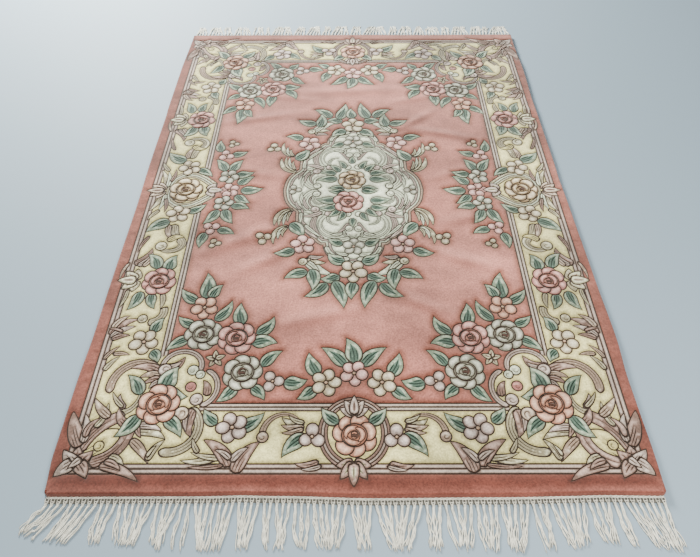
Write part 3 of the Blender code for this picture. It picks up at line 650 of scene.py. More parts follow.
# %% Acanthus fingers
FINGERS = listed("yarn across along tip_across tip_along width bend", """
    straw 768 1008 746 930 22 -8; mauve 664 1004 706 948 26 10; lilac 690 948 716 902 20 8;
    straw 694 946 738 896 15 5; mauve 604 826 704 812 30 -13; blush 606 838 668 846 24 -8;
    mauve 606 848 656 870 20 -6; lilac 604 856 632 884 15 -4; mauve 616 806 540 770 34 -20;
    lilac 606 812 548 790 20 -8; mauve 452 908 468 856 26 -8; mauve 486 952 478 1040 36 -12;
    lilac 502 962 494 1024 16 -5; blush 730 975 790 914 28 6; mauve 792 1066 842 958 44 6;
    lilac 788 1056 804 966 26 -8; mauve 786 1040 756 980 20 12; straw 640 1022 548 1046 30 10;
    lilac 640 1008 566 1024 24 7; mauve 640 1002 622 1040 16 -4; blush 650 1046 584 1116 28 6;
    straw 586 1108 546 1046 22 7; straw 592 1098 572 1064 12 3; straw 700 1096 652 1128 24 8;
    mauve 722 1122 604 1166 30 10; mauve 712 1108 660 1134 20 6; straw 380 1092 492 1108 22 10;
    straw 372 1100 470 1084 18 6; mauve 352 1124 436 1046 40 -12; mauve 338 1140 276 1050 42 12;
    lilac 350 1112 306 1070 22 6; lilac 352 1106 400 1078 18 -5; mauve 370 1120 470 1126 14 4;
    straw 446 1084 470 1040 16 4; mauve 100 1112 168 1118 20 8; lilac 92 1122 150 1132 14 4;
    straw 150 1000 216 980 26 9; blush 150 1006 218 1002 22 7; blush 150 1012 214 1026 18 5;
    straw 148 992 196 970 16 6; mauve 796 388 746 314 34 -16; lilac 782 394 740 328 25 -11;
    blush 764 398 742 342 20 -8; blush 812 380 830 458 13 -6; straw 668 520 662 584 20 6;
    mauve 802 690 722 628 32 16; lilac 798 700 726 656 25 10; mauve 794 706 736 690 20 6;
    blush 802 664 756 612 22 9; straw 790 822 752 770 18 5; blush 776 762 722 764 16 4;
    mauve 762 676 812 664 12 -4; blush 800 780 760 732 14 5; straw 764 10 800 120 24 10;
    pale 758 20 768 112 20 6; mauve 750 50 740 124 16 5; straw 764 112 800 166 18 -4;
    straw 686 192 650 262 34 -14; blush 704 192 682 268 24 -10; cream 694 278 636 258 27 12;
    mauve 770 250 796 330 15 -5; straw 792 500 806 580 15 5; pale 128 120 198 116 20 6;
    lilac 124 126 200 150 22 8; pale 188 92 206 14 18 10; lilac 176 108 196 40 15 8;
    pale 60 108 104 118 16 5; pale 12 262 96 268 20 8; pale 16 140 54 152 18 -5;
    pale 40 232 86 244 18 6; pale 20 344 70 332 18 5; pale 176 362 78 438 40 -14;
    straw 170 358 102 380 26 -8; lilac 166 352 108 350 20 -6; pale 178 372 120 440 20 8;
    straw 160 360 190 378 12 5; pale 204 128 202 188 16 -2; lilac 196 200 134 266 20 -3;
    pale 186 190 122 254 16 -3; lilac 204 112 226 62 14 6; lilac 20 182 62 236 15 6;
    straw 236 112 304 198 27 -26; straw 242 116 284 204 21 -18; pale 242 120 268 198 17 -12;
    straw 242 120 252 178 14 -6; straw 250 204 300 294 25 -24; pale 252 208 284 268 19 -14;
    straw 252 210 266 256 15 -8
""")
EYE_BANDS = table(
    "yarn across along tip_across tip_along width bend shape",
    ("cream", 776, 1090, 684, 1018, 70, 0, "horn"),
    ("mauve", 792, 1080, 684, 968, 37, 20, "band"), ("mauve", 752, 1116, 660, 1000, 35, -30, "band"),
)
repeated(EYE_BANDS, draw_finger)
repeated(FINGERS, draw_finger)
repeated(BALLS, draw_ball)
print(len(rug.lines), "lines with the scrolls")

# %% [markdown]
# ## Leaves and flowers
# Sprays of roses and five-petalled blossoms fill the corners of the field and stand at its ends and
# sides. Leaves radiate from them, so leaves are drawn before the flowers that cover their stalks.

# %% Leaves
LEAVES = listed("across along tip_across tip_along width bend", """
    535 555 595 503 34 6; 518 540 524 436 46 -6; 493 540 461 486 34 5; 466 632 420 557 34 -8;
    533 650 590 616 30 5; 537 705 602 749 34 -5; 372 650 385 567 40 5; 322 684 273 621 36 -9;
    332 725 254 723 42 7; 293 805 236 752 34 6; 218 863 151 857 40 -6; 365 872 416 923 34 4;
    318 878 277 919 32 4; 111 838 143 763 40 5; 122 880 173 916 34 4; 26 807 101 743 40 -6;
    0 795 -24 709 46 6; 53 440 116 452 38 6; 97 476 168 531 40 8; 72 468 38 577 44 6;
    0 470 -8 541 40 3; 154 411 146 499 42 6; 164 430 241 455 38 -6; 30 375 88 338 40 8;
    246 188 196 256 44 6; 222 318 292 336 36 6; 455 0 371 8 40 5; 467 30 411 74 36 -5;
    483 95 414 106 34 6; 505 112 467 182 38 -5; 533 112 578 182 38 5; 520 220 457 240 32 5;
    562 237 575 309 34 -4; 650 124 587 83 32 -5; 708 176 784 228 46 -7; 710 412 753 348 40 -8;
    663 418 647 350 42 6; 745 512 773 585 36 6; 700 522 681 583 32 -5; 660 680 637 626 34 5;
    655 750 627 789 32 4; 655 905 704 843 36 -6; 645 970 699 1034 40 6; 565 980 509 1037 36 6;
    588 893 514 908 44 -4; 584 888 555 812 50 5; 405 993 447 949 32 4; 340 1012 271 965 36 -5;
    143 1034 206 1093 38 -6; 45 993 93 949 34 4; 68 60 147 54 36 4; 55 110 96 147 26 4;
    0 160 0 206 24 2; 40 290 93 267 30 4; 36 4 96 6 26 3; 70 92 134 98 30 6;
    36 128 62 172 24 4
""")
repeated(LEAVES, draw_leaf)

# %% Blossoms, buds and roses
BLOSSOMS = listed("yarn across along radius petals turn", """
    peach_petal 508 578 47 5 90; lilac_petal 253 858 38 3 60; cream_petal 86 862 47 5 110;
    pink_petal 0 832 45 5 90; cream_petal 0 420 51 5 90; grey_petal 0 305 42 5 270;
    pink_petal 186 294 47 5 60; pink_petal 500 0 42 5 0; grey_petal 515 78 42 5 40;
    pink_petal 545 210 36 3 80; cream_petal 685 135 47 5 70; cream_petal 685 715 48 5 90;
    lilac_petal 363 1009 48 5 70; cream_petal 340 264 33 3 200; grey_petal 234 0 30 3 180;
    cream_petal 520 290 27 3 60; lilac_petal 122 1036 42 3 30
""")
ROSES = table(
    "yarn bowl across along radius",
    ("grey_petal", "deep_grey", 495, 688, 62), ("rose_petal", "deep_rose", 385, 700, 63),
    ("grey_petal", "deep_grey", 351, 828, 63), ("peach_petal", "deep_peach", 595, 935, 66),
    ("rose_petal", "deep_rose", 690, 465, 62), ("tan_petal", "deep_tan", 679, -4, 67),
    ("peach_petal", "deep_peach", 0, 1033, 66),
)
MIDDLE_ROSES = table(
    "yarn bowl across along radius",
    ("tan_petal", "deep_tan", -5, 60, 58), ("rose_petal", "deep_rose", -20, -68, 61),
)
repeated(BLOSSOMS, draw_blossom)
repeated(ROSES, draw_rose)
for row in MIDDLE_ROSES:
    draw_rose(placed(1, 1), row)

# %% Finials over the rules
FINIALS = table(
    "yarn core across along radius blades turn spread width",
    ("straw", "blush", 441, 777, 33, 5, 60, 360, 0.60),
    ("straw", "blush", 768, 462, 66, 5, 0, 170, 0.58), ("blush", "mauve", 768, 0, 70, 5, 0, 130, 0.46),
    ("mauve", "straw", 0, 1112, 66, 5, 90, 160, 0.50), ("lilac", "straw", 588, 0, 62, 3, 180, 110, 0.56),
    ("lilac", "mauve", 0, 968, 62, 5, 270, 130, 0.46),
)
STAR = table(
    "yarn across along tip_across tip_along width bend shape",
    ("mauve", 792, 1110, 791, 1066, 34, 0, "spike"), ("mauve", 786, 1112, 748, 1076, 36, -3, "spike"),
    ("lilac", 790, 1116, 834, 1076, 36, 3, "spike"), ("mauve", 784, 1116, 750, 1158, 38, 3, "spike"),
    ("lilac", 794, 1112, 836, 1150, 40, -3, "spike"), ("lilac", 776, 1100, 806, 1128, 22, 0, "spike"),
)
repeated(FINIALS, draw_palmette)
repeated(STAR, draw_finger)
print(len(rug.lines), "lines in the whole drawing")

# %% [markdown]
# ## From the drawing to a relief
# A constrained Delaunay net joins all the lines into triangles whose edges follow every line. Each
# triangle lies in several shapes, and the last one drawn gives its yarn. Then the heights: the pile's
# full height, less a soft shoulder beside each channel, less the channel itself.

# %% The net
EDGE_ROWS = table(
    "inset share",
    (0.0000, 0.12), (0.0010, 0.40), (0.0050, 0.76), (0.0110, 0.92), (0.0180, 1.00),
)
FILL_STEP = 10.0
FILL_STRAY = 2.5
EDGE_BAND = 22.0
CLEAR = 3.4
LEAK = 1.3


def fill_points(near):
    """Points that only fill the surface, on a strayed grid, clear of the lines' own points."""
    points = []
    columns, rows = int(2000 * HALF_WIDTH / FILL_STEP) + 2, int(2000 * HALF_LENGTH / FILL_STEP) + 2
    for i in range(columns):
        for j in range(rows):
            x = (i + 0.5 * (j % 2)) * FILL_STEP - 1000 * HALF_WIDTH + draws.uniform(-FILL_STRAY, FILL_STRAY)
            y = j * FILL_STEP - 1000 * HALF_LENGTH + draws.uniform(-FILL_STRAY, FILL_STRAY)
            inside = abs(x) < 1000 * HALF_WIDTH - EDGE_BAND and abs(y) < 1000 * HALF_LENGTH - EDGE_BAND
            if inside and near.find((x, y, 0.0))[2] > CLEAR:
                points.append((x, y))
    return points


points, loops, constraints = [], [], []
for line in rug.lines:
    loops.append(list(range(len(points), len(points) + len(line))))
    points += [(float(x), float(y)) for x, y in line]
for crease in rug.creases:
    first = len(points)
    points += [(float(x), float(y)) for x, y in crease]
    constraints += [(first + k, first + k + 1) for k in range(len(crease) - 1)]
edge_shares = {}
for row in EDGE_ROWS:
    line = [(1000 * x, 1000 * y) for x, y in edge_line(row["inset"])]
    first = len(points)
    points += line
    if row["inset"]:
        constraints += [(first + k, first + (k + 1) % len(line)) for k in range(len(line))]
    edge_shares.update({first + k: row["share"] for k in range(len(line))})
points += fill_points(search_tree(list(enumerate(points))))
net = delaunay_2d_cdt(points, constraints, loops, 1, 0.05)
spots = np.array([(p.x, p.y) for p in net[0]])
triangles = np.array(net[2])
pairs = np.array([(k, line) for k, lines in enumerate(net[5]) for line in lines])
side_a, side_b = (spots[triangles[:, k]] - spots[triangles[:, 0]] for k in (1, 2))
area = abs(side_a[:, 0] * side_b[:, 1] - side_a[:, 1] * side_b[:, 0]) / 2
covered = np.bincount(pairs[:, 1], area[pairs[:, 0]], len(rug.lines))
# A line that the net couldn't close covers more than its own area, and so that shape is left out.
leaking = covered > LEAK * np.array(rug.areas) + 10
pairs = pairs[~leaking[pairs[:, 1]]]
owners = np.full(len(triangles), -1)
np.maximum.at(owners, pairs[:, 0], pairs[:, 1])
triangles, owners = triangles[owners >= 0], owners[owners >= 0]
print(len(spots), "points", len(triangles), "triangles", leaking.sum(), "shapes left out")

# %% Channels, shoulders and heights
CHANNEL_DEPTH = 5.0
SHOULDER = 2.9
SHOULDER_REACH = 5.5
yarns = np.array(rug.yarns)[owners]
is_cut = np.isin(yarns, CUT_YARNS)
touches_cut = np.zeros(len(spots), bool)
touches_pile = np.zeros(len(spots), bool)
touches_cut[triangles[is_cut].ravel()] = True
touches_pile[triangles[~is_cut].ravel()] = True
rim_spots = np.flatnonzero(touches_cut & touches_pile)
tree = search_tree([(int(k), spots[k]) for k in rim_spots])
to_rim = np.array([tree.find((x, y, 0.0))[2] for x, y in spots])
in_channel = touches_cut & ~touches_pile
shares = np.ones(len(spots))
for k, numbers in enumerate(net[3]):
    own = [edge_shares[n] for n in numbers if n in edge_shares]
    if own:
        shares[k] = min(own)
height = 1000 * PILE_HEIGHT * shares + 1000 * ripple_height(*(spots.T / 1000)) * (shares == 1.0)
shoulder = SHOULDER * np.exp(-to_rim / SHOULDER_REACH)
shoulder[in_channel] = SHOULDER + (CHANNEL_DEPTH - SHOULDER) * np.minimum(1.0, to_rim[in_channel] / 1.2)
height -= shoulder * (shares > 0.8)
places = np.column_stack([spots, height]) / 1000
print("height", height.min(), height.max())

# %% The yarns' colours on the net
# The nap is brushed towards the far end. Painted shade darkens the field towards the near end and on the
# slopes of the folds that face the near end, and darkens the margin towards its ends, on a band by the near
# end and at its rolled outer edge.
NAP_SHADE = table(
    "along tone",
    (-1200, 0.60), (-960, 0.66), (-760, 0.78), (-600, 0.88), (-380, 0.92), (-200, 0.83), (0, 0.77),
    (300, 0.76), (650, 0.80), (1200, 0.88),
)
MARGIN_NAP_SHADE = table(
    "along tone",
    (-1200, 0.78), (-800, 0.78), (-400, 0.96), (0, 1.00), (400, 0.84), (800, 0.72), (1200, 0.70),
)
DEEPENING = (1.0, 1.30, 1.40)
FRONT_SHADE = 0.40
EDGE_ROLL_SHADE = 0.62
HEART_SHARE = 0.75
HEART_TONE = 0.66
FOLD_STEP = 0.014
FOLD_SHADE = 75.0
hearts = np.array(rug.hearts)[owners]
corners = spots[triangles]
# Painted shade: near a channel each corner's colour blends from its yarn's middle colour to the darker rim
# colour.
rim_shade_share = 1 - smooth_step(to_rim[triangles] / REACHES[yarns][:, None])
middles, shaded_rims = MIDDLES[yarns][:, None, :], SHADED_RIMS[yarns][:, None, :]
colours = middles * (1 - rim_shade_share[..., None]) + shaded_rims * rim_shade_share[..., None]
reach = np.maximum(hearts[:, None, 2], 0.001)
to_heart = np.hypot(corners[..., 0] - hearts[:, None, 0], corners[..., 1] - hearts[:, None, 1]) / reach
heart_share = HEART_SHARE * (1 - smooth_step(to_heart)) * (hearts[:, None, 2] > 0)
colours += (shaded_rims * HEART_TONE - colours) * heart_share[..., None]
from_edge = np.minimum(1000 * HALF_WIDTH - abs(corners[..., 0]), 1000 * HALF_LENGTH - abs(corners[..., 1]))
nap_shade = read_table(NAP_SHADE, "along", "tone", corners[..., 1])
flat_x, flat_y = corners.reshape(-1, 2).T / 1000
# Painted shade and light on the folds: slopes that face the near end are darkened, those facing the far window
# lightened.
slope = ripple_height(flat_x, flat_y + FOLD_STEP) - ripple_height(flat_x, flat_y - FOLD_STEP)
nap_shade = nap_shade * np.clip(1 - FOLD_SHADE * slope, 0.70, 1.12).reshape(nap_shade.shape)
# Painted shade on the margin: darker towards both ends, on a band by the near end and on the rolled outer edge.
front = smooth_step((-corners[..., 1] - 1140) / 20) * smooth_step((from_edge - 10) / 14)
edge_roll = 1 - smooth_step((from_edge - 3) / 12)
margin_nap_shade = read_table(MARGIN_NAP_SHADE, "along", "tone", corners[..., 1])
margin_shade = margin_nap_shade * (1 + (FRONT_SHADE - 1) * front) * (1 + (EDGE_ROLL_SHADE - 1) * edge_roll)
tone = np.where((yarns == YARN["margin"])[:, None], margin_shade, 1.0)
tone = np.where((yarns == YARN["field"])[:, None], nap_shade, tone)
# The painted shade deepens blue and green more than red, so the darkened pile turns warmer.
colours *= tone[..., None] ** DEEPENING
print("colours", colours.shape)

# %% [markdown]
# ## The pile's pieces
# The relief is cut into strips across the rug, so that each mesh stays light enough to handle. The
# shading normals are taken from the whole relief first, and so the joins don't show.

# %% Pile strips
run_a = places[triangles[:, 1]] - places[triangles[:, 0]]
run_b = places[triangles[:, 2]] - places[triangles[:, 0]]
facing = np.cross(run_a, run_b)
normals = np.zeros((len(places), 3))
for k in range(3):
    np.add.at(normals, triangles[:, k], facing)
normals /= np.linalg.norm(normals, axis=1)[:, None]


def mesh_piece(name, verts, faces, smooth=True):
    """A piece from plain lists of places and faces."""
    mesh = bpy.data.meshes.new(name)
    mesh.from_pydata(verts.tolist(), [], faces.tolist() if hasattr(faces, "tolist") else faces)
    mesh.polygons.foreach_set("use_smooth", [smooth] * len(mesh.polygons))
    piece = bpy.data.objects.new(name, mesh)
    bpy.context.scene.collection.objects.link(piece)
    return piece


def pile_strip(name, chosen):
    """One strip of the pile with its colours and its shading."""
    used, faces = np.unique(triangles[chosen], return_inverse=True)
    piece = mesh_piece(name, places[used], faces.reshape(-1, 3))
    mesh = piece.data
    colour = mesh.attributes.new("pattern", "FLOAT_COLOR", "CORNER")
    four = np.concatenate([colours[chosen], np.ones((chosen.sum(), 3, 1))], axis=2)
    colour.data.foreach_set("color", four.ravel())
    shade = mesh.attributes.new("shade", "FLOAT", "POINT")
    shade.data.foreach_set("value", np.exp(-to_rim[used] / 5.0) + in_channel[used] * 0.6)
    mesh.normals_split_custom_set_from_vertices(normals[used].tolist())
    print(name, len(faces) // 3 if faces.ndim == 1 else len(faces), "triangles")
    return piece


STRIPS = ("pile_near", "pile_mid_near", "pile_mid_far", "pile_far")
centre_y = corners[..., 1].mean(axis=1)
limits = np.quantile(centre_y, np.linspace(0, 1, len(STRIPS) + 1))
limits[0], limits[-1] = -1e9, 1e9
strips = []
for name, low, high in zip(STRIPS, limits, limits[1:]):
    strips.append(pile_strip(name, (centre_y >= low) & (centre_y < high)))

# %% [markdown]
# ## The back
# Under the pile lies a cotton back, glued and hemmed. Only its cut edge can be seen, so it is a plain
# slab: a plane, shaped to the outline and given its thickness with Solidify.

# %% Backing
BACK_THICKNESS = 0.0026
BACK_INSET = 0.0015


def slab(name, line, low, thickness):
    """A thin closed slab with the outline of a line."""
    bpy.ops.object.select_all(action="DESELECT")
    verts = np.array([(x, y, low) for x, y in line])
    piece = mesh_piece(name, verts, [list(range(len(line)))], False)
    bpy.context.view_layer.objects.active = piece
    piece.select_set(True)
    solid = piece.modifiers.new("thickness", "SOLIDIFY")
    solid.thickness = thickness
    solid.offset = 1.0
    bpy.ops.object.modifier_apply(modifier=solid.name)
    return piece


backing = slab("rug_backing", edge_line(BACK_INSET), 0.0003, BACK_THICKNESS)
print("backing", len(backing.data.polygons), "faces")

# %% [markdown]
# ## The fringe
# At both ends the cotton warp of the back runs out. A narrow woven edge holds it, then strands are
# gathered in bundles, and each bundle is tied in a knot, with small holes left between the bundles.
# Below the knot five or six yarns hang free, and here they lie on the floor in loose clumps. A flat dark
# ribbon under the woven edge and the knots is a painted shadow, seen through the holes.

# %% Fringe measures, as in the part
KNOTS = 100
KNOT_PITCH = PILE_WIDTH / KNOTS
SEAT_GAP = 0.0003
KNOT_OUT = 0.0215
EDGE_HALF = 0.845
EDGE_POINTS = 340
# The flat dark ribbon under the woven edge and the knots, a painted shadow for the holes.
SHADOW_RIBBON_OUT = 0.0092
SHADOW_RIBBON_HALF = 0.0090
EDGE_CORDS = table("out radius", (0.0012, 0.0018), (0.0042, 0.0019))
LEG_PLACES = table("off out", (0.0042, 0.0052), (0.0046, 0.0098), (0.0036, 0.0142), (0.0014, KNOT_OUT))
LEG_RADII = (0.0016, 0.0015, 0.0017, 0.0020)
KNOT_RINGS = table("lift size", (-0.0024, 0.0032), (0.0006, 0.0038), (0.0036, 0.0030))
COTTON_HEIGHT = 0.0034
NEAR_LOCKS = table(
    "knot sideways reach",
    (0, -0.058, 0.104), (5, -0.050, 0.112), (8, -0.040, 0.116), (9, -0.012, 0.116), (17, -0.006, 0.122),
    (22, -0.014, 0.130), (23, 0.004, 0.134), (27, -0.008, 0.134), (28, 0.006, 0.136), (36, -0.010, 0.132),
    (37, 0.006, 0.134), (46, 0.000, 0.128), (52, 0.010, 0.128), (58, -0.008, 0.128), (66, 0.004, 0.130),
    (77, -0.012, 0.134), (78, 0.010, 0.134), (86, 0.006, 0.122), (92, 0.018, 0.124), (99, 0.040, 0.142),
)
FAR_LOCKS = table(
    "knot sideways reach",
    (0, -0.004, 0.100), (14, -0.008, 0.104), (30, 0.006, 0.106), (44, 0.010, 0.110), (58, 0.008, 0.106),
    (70, 0.012, 0.110), (73, -0.006, 0.102), (86, 0.010, 0.104), (99, 0.012, 0.102),
)
YARNS_A_LOCK = 5
YARN_RADIUS = 0.0017
SIDES = 4
LOCKS_A_CLUMP = (4, 5, 3, 6, 4, 2, 7, 4, 5, 3, 6, 4, 8, 3, 5)
CLUMPING = 0.50


class Bundle:
    """Tubes and other small parts, gathered for one mesh."""

    def __init__(self):
        self.verts = []
        self.faces = []
        self.twist = []
        self.lit = []

    def tube(self, path, radii, sides=SIDES, flat=1.0, dark=False):
        """A closed tube along a path, with a radius at each of its points."""
        path = np.array(path, float)
        run = np.gradient(path, axis=0)
        run /= np.linalg.norm(run, axis=1)[:, None]
        side = np.cross(run, (0.0, 0.0, 1.0))
        side /= np.maximum(np.linalg.norm(side, axis=1), 1e-9)[:, None]
        up = np.cross(side, run)
        first = len(self.verts)
        length = np.concatenate([[0.0], np.cumsum(np.linalg.norm(np.diff(path, axis=0), axis=1))])
        for k, (p, s, u, r) in enumerate(zip(path, side, up, radii)):
            for n in range(sides):
                turn = 2 * math.pi * n / sides
                self.verts.append(p + r * math.cos(turn) * s + r * flat * math.sin(turn) * u)
                self.twist.append(length[k])
                # Painted shade: lit is 1 on a tube's top and 0 at its sides and bottom; a dark tube, the shadow
                # ribbon, gets -1.
                self.lit.append(-1.0 if dark else max(0.0, math.sin(turn)))
        for k in range(len(path) - 1):
            for n in range(sides):
                a, b = first + k * sides + n, first + k * sides + (n + 1) % sides
                self.faces.append([a, b, b + sides, a + sides])
        last = first + (len(path) - 1) * sides
        self.faces.append([first + n for n in range(sides - 1, -1, -1)])
        self.faces.append([last + n for n in range(sides)])

    def piece(self, name):
        made = mesh_piece(name, np.array(self.verts), self.faces)
        length = made.data.attributes.new("run", "FLOAT", "POINT")
        length.data.foreach_set("value", self.twist)
        lit = made.data.attributes.new("lit", "FLOAT", "POINT")
        lit.data.foreach_set("value", self.lit)
        print(name, sum(len(face) - 2 for face in self.faces), "triangles")
        return made


def fringe(name, rows, end):
    """The fringe at the near end (-1) or the far end (1)."""
    rim = sorted(p for p in edge_line(0.0) if end * p[1] > HALF_LENGTH - CORNER_RADIUS / 2)
    rim_x, rim_y = [p[0] for p in rim], [p[1] for p in rim]
    bundle = Bundle()

    def at(x, out, z):
        """A place at a distance out from the pile's end."""
        return x, float(np.interp(x, rim_x, rim_y)) + end * (SEAT_GAP + out), z

    turns = np.linspace(0, 2 * math.pi, 9)
    xs = np.linspace(-EDGE_HALF, EDGE_HALF, EDGE_POINTS)
    # The dark ribbon: a painted shadow seen through the holes between the bundles.
    bundle.tube([at(x, SHADOW_RIBBON_OUT, 0.0008) for x in xs], [SHADOW_RIBBON_HALF] * EDGE_POINTS, 4, 0.05, True)
    for cord in EDGE_CORDS:
        out = cord["out"]
        wave = 0.0006 * np.sin(np.arange(EDGE_POINTS) * 2.1 + out * 900)
        line = [at(x, out + w, COTTON_HEIGHT + abs(w)) for x, w in zip(xs, wave)]
        bundle.tube(line, [cord["radius"]] * EDGE_POINTS, 4)
    sideways = read_table(rows, "knot", "sideways", np.arange(KNOTS))
    reaches = read_table(rows, "knot", "reach", np.arange(KNOTS))
    clumps, first = np.zeros(KNOTS), 0
    for size in LOCKS_A_CLUMP * 3:
        clumps[first:first + size] = min(first + (size - 1) / 2, KNOTS - 1)
        first += size
    for k in range(KNOTS):
        x = (k + 0.5) * KNOT_PITCH - HALF_WIDTH + draws.uniform(-0.0008, 0.0008)
        x = min(max(x, 0.0035 - EDGE_HALF), EDGE_HALF - 0.0035)
        for side in (-1, 1):
            path = [at(x + side * leg["off"], leg["out"], COTTON_HEIGHT + 0.0001 * n)
                    for n, leg in enumerate(LEG_PLACES)]
            bundle.tube(path, LEG_RADII)
        cross = [(-0.0062, 0.0132, COTTON_HEIGHT), (0.0, 0.0128, 0.0044), (0.0062, 0.0132, COTTON_HEIGHT)]
        bundle.tube([at(x + off, out, z) for off, out, z in cross], [0.0012, 0.0017, 0.0012])
        for knot in KNOT_RINGS:
            out, size = KNOT_OUT + knot["lift"], knot["size"]
            ring = [at(x + size * math.cos(t), out, 0.0036 + 0.0016 * math.sin(t)) for t in turns]
            bundle.tube(ring, [0.0016] * len(turns), 4)
        gather = (clumps[k] - k) * KNOT_PITCH * CLUMPING + draws.uniform(-0.002, 0.002)
        curl = draws.uniform(-0.010, 0.010)
        for n in range(YARNS_A_LOCK):
            spread = (n + 0.5) / YARNS_A_LOCK - 0.5
            reach = reaches[k] + draws.uniform(-0.016, 0.004)
            tip = x + sideways[k] + gather + spread * 0.0110 + draws.normal(0.0, 0.0030)
            root = x + spread * 0.0050
            wave, phase, waves = draws.uniform(0.0010, 0.0034), draws.uniform(0, 6.28), draws.uniform(7, 15)
            share = np.linspace(0.0, 1.0, 15)
            px = root + (tip - root) * share ** 1.1 + curl * np.sin(math.pi * share) * share
            px += wave * np.sin(phase + share * waves) * np.minimum(1.0, share * 3)
            out = KNOT_OUT + 0.0024 + (reach - KNOT_OUT) * share
            lift = YARN_RADIUS + 0.0018 * (1 - smooth_step(share * 3)) + (n % 3) * 0.0009 * (share < 0.93)
            radii = YARN_RADIUS * np.where(share > 0.95, 0.6, 1.0) * draws.uniform(0.8, 1.15)
            bundle.tube([at(a, b, c) for a, b, c in zip(px, out, lift)], radii)
    return bundle.piece(name)


near_fringe = fringe("near_fringe", NEAR_LOCKS, -1)
far_fringe = fringe("far_fringe", FAR_LOCKS, 1)

# %% [markdown]
# ## Materials
# Cut wool pile has no gloss: each tuft ends in a brush of fibres that scatters light, and seen at a
# low angle the fibre tips catch it as a pale bloom, which the sheen gives. Dye takes unevenly, so the
# colour drifts over a hand's breadth and speckles from tuft to tuft. Footsteps brush the pile one way
# or the other, which shows as soft lighter and darker strokes.

# %% A function for nodes
def add(tree, kind, inputs=(), links=(), **settings):
    """Adds a node with its settings, the values of its inputs, and links into them."""
    node = tree.nodes.new(kind)
    for name, value in settings.items():
        setattr(node, name, value)
    for name, value in dict(inputs).items():
        node.inputs[name].default_value = value
    for name, source in dict(links).items():
        tree.links.new(source, node.inputs[name])
    return node


def material(name):
    """An empty material with its shader."""
    made = bpy.data.materials.new(name)
    made.use_nodes = True
    return made, made.node_tree, made.node_tree.nodes["Principled BSDF"]


def painted(piece, made):
    piece.data.materials.clear()
    piece.data.materials.append(made)


# %% Cut wool pile
TUFT = 0.0058
DRIFT = 0.09
BRUSHED = 0.30
TONES = table(
    "source low high dark light",
    ("brushed", 0.34, 0.62, 0.60, 1.16), ("drift", 0.30, 0.70, 0.86, 1.12),
    ("tufts", 0.30, 0.70, 0.62, 1.36), ("shade", 0.00, 1.60, 1.00, 0.66),
)
wool, tree, shader = material("cut_wool_pile")
spot = add(tree, "ShaderNodeTexCoord").outputs["Object"]
yarn = add(tree, "ShaderNodeAttribute", attribute_name="pattern")
shade = add(tree, "ShaderNodeAttribute", attribute_name="shade")
stretched = add(tree, "ShaderNodeMapping", {"Rotation": (0.0, 0.0, -0.42), "Scale": (0.55, 1.25, 1.0)},
                {"Vector": spot})
noises = {}
for name, size, detail, rough, place in (
        ("brushed", BRUSHED, 4.0, 0.60, stretched.outputs["Vector"]), ("drift", DRIFT, 3.0, 0.65, spot),
        ("tufts", TUFT, 3.0, 0.75, spot)):
    noises[name] = add(tree, "ShaderNodeTexNoise", {"Scale": 1 / size, "Detail": detail, "Roughness": rough},
                       {"Vector": place})
depth = None
for row in TONES:
    source = shade if row["source"] == "shade" else noises[row["source"]]
    limits_in = {"From Min": row["low"], "From Max": row["high"], "To Min": row["dark"], "To Max": row["light"]}
    part = add(tree, "ShaderNodeMapRange", limits_in, {"Value": source.outputs["Fac"]}).outputs[0]
    if depth is not None:
        part = add(tree, "ShaderNodeMath", operation="MULTIPLY", links={0: depth, 1: part}).outputs[0]
    depth = part
toned = add(tree, "ShaderNodeVectorMath", operation="SCALE", links={0: yarn.outputs["Color"], "Scale": depth})
tree.links.new(toned.outputs["Vector"], shader.inputs["Base Color"])
bump = add(tree, "ShaderNodeBump", {"Strength": 0.55, "Distance": 0.0016},
           {"Height": noises["tufts"].outputs["Fac"]})
tree.links.new(bump.outputs["Normal"], shader.inputs["Normal"])
for socket, value in (("Roughness", 0.95), ("IOR", 1.5), ("Specular IOR Level", 0.15), ("Sheen Weight", 0.35),
                      ("Sheen Roughness", 0.5), ("Sheen Tint", (1.0, 0.95, 0.90, 1.0))):
    shader.inputs[socket].default_value = value
for piece in strips:
    painted(piece, wool)

# %% Cotton: the plied yarn of the fringe and the cloth of the back
PLY = 0.0030
SHADE_AND_MOTTLE_TONE = 0.16


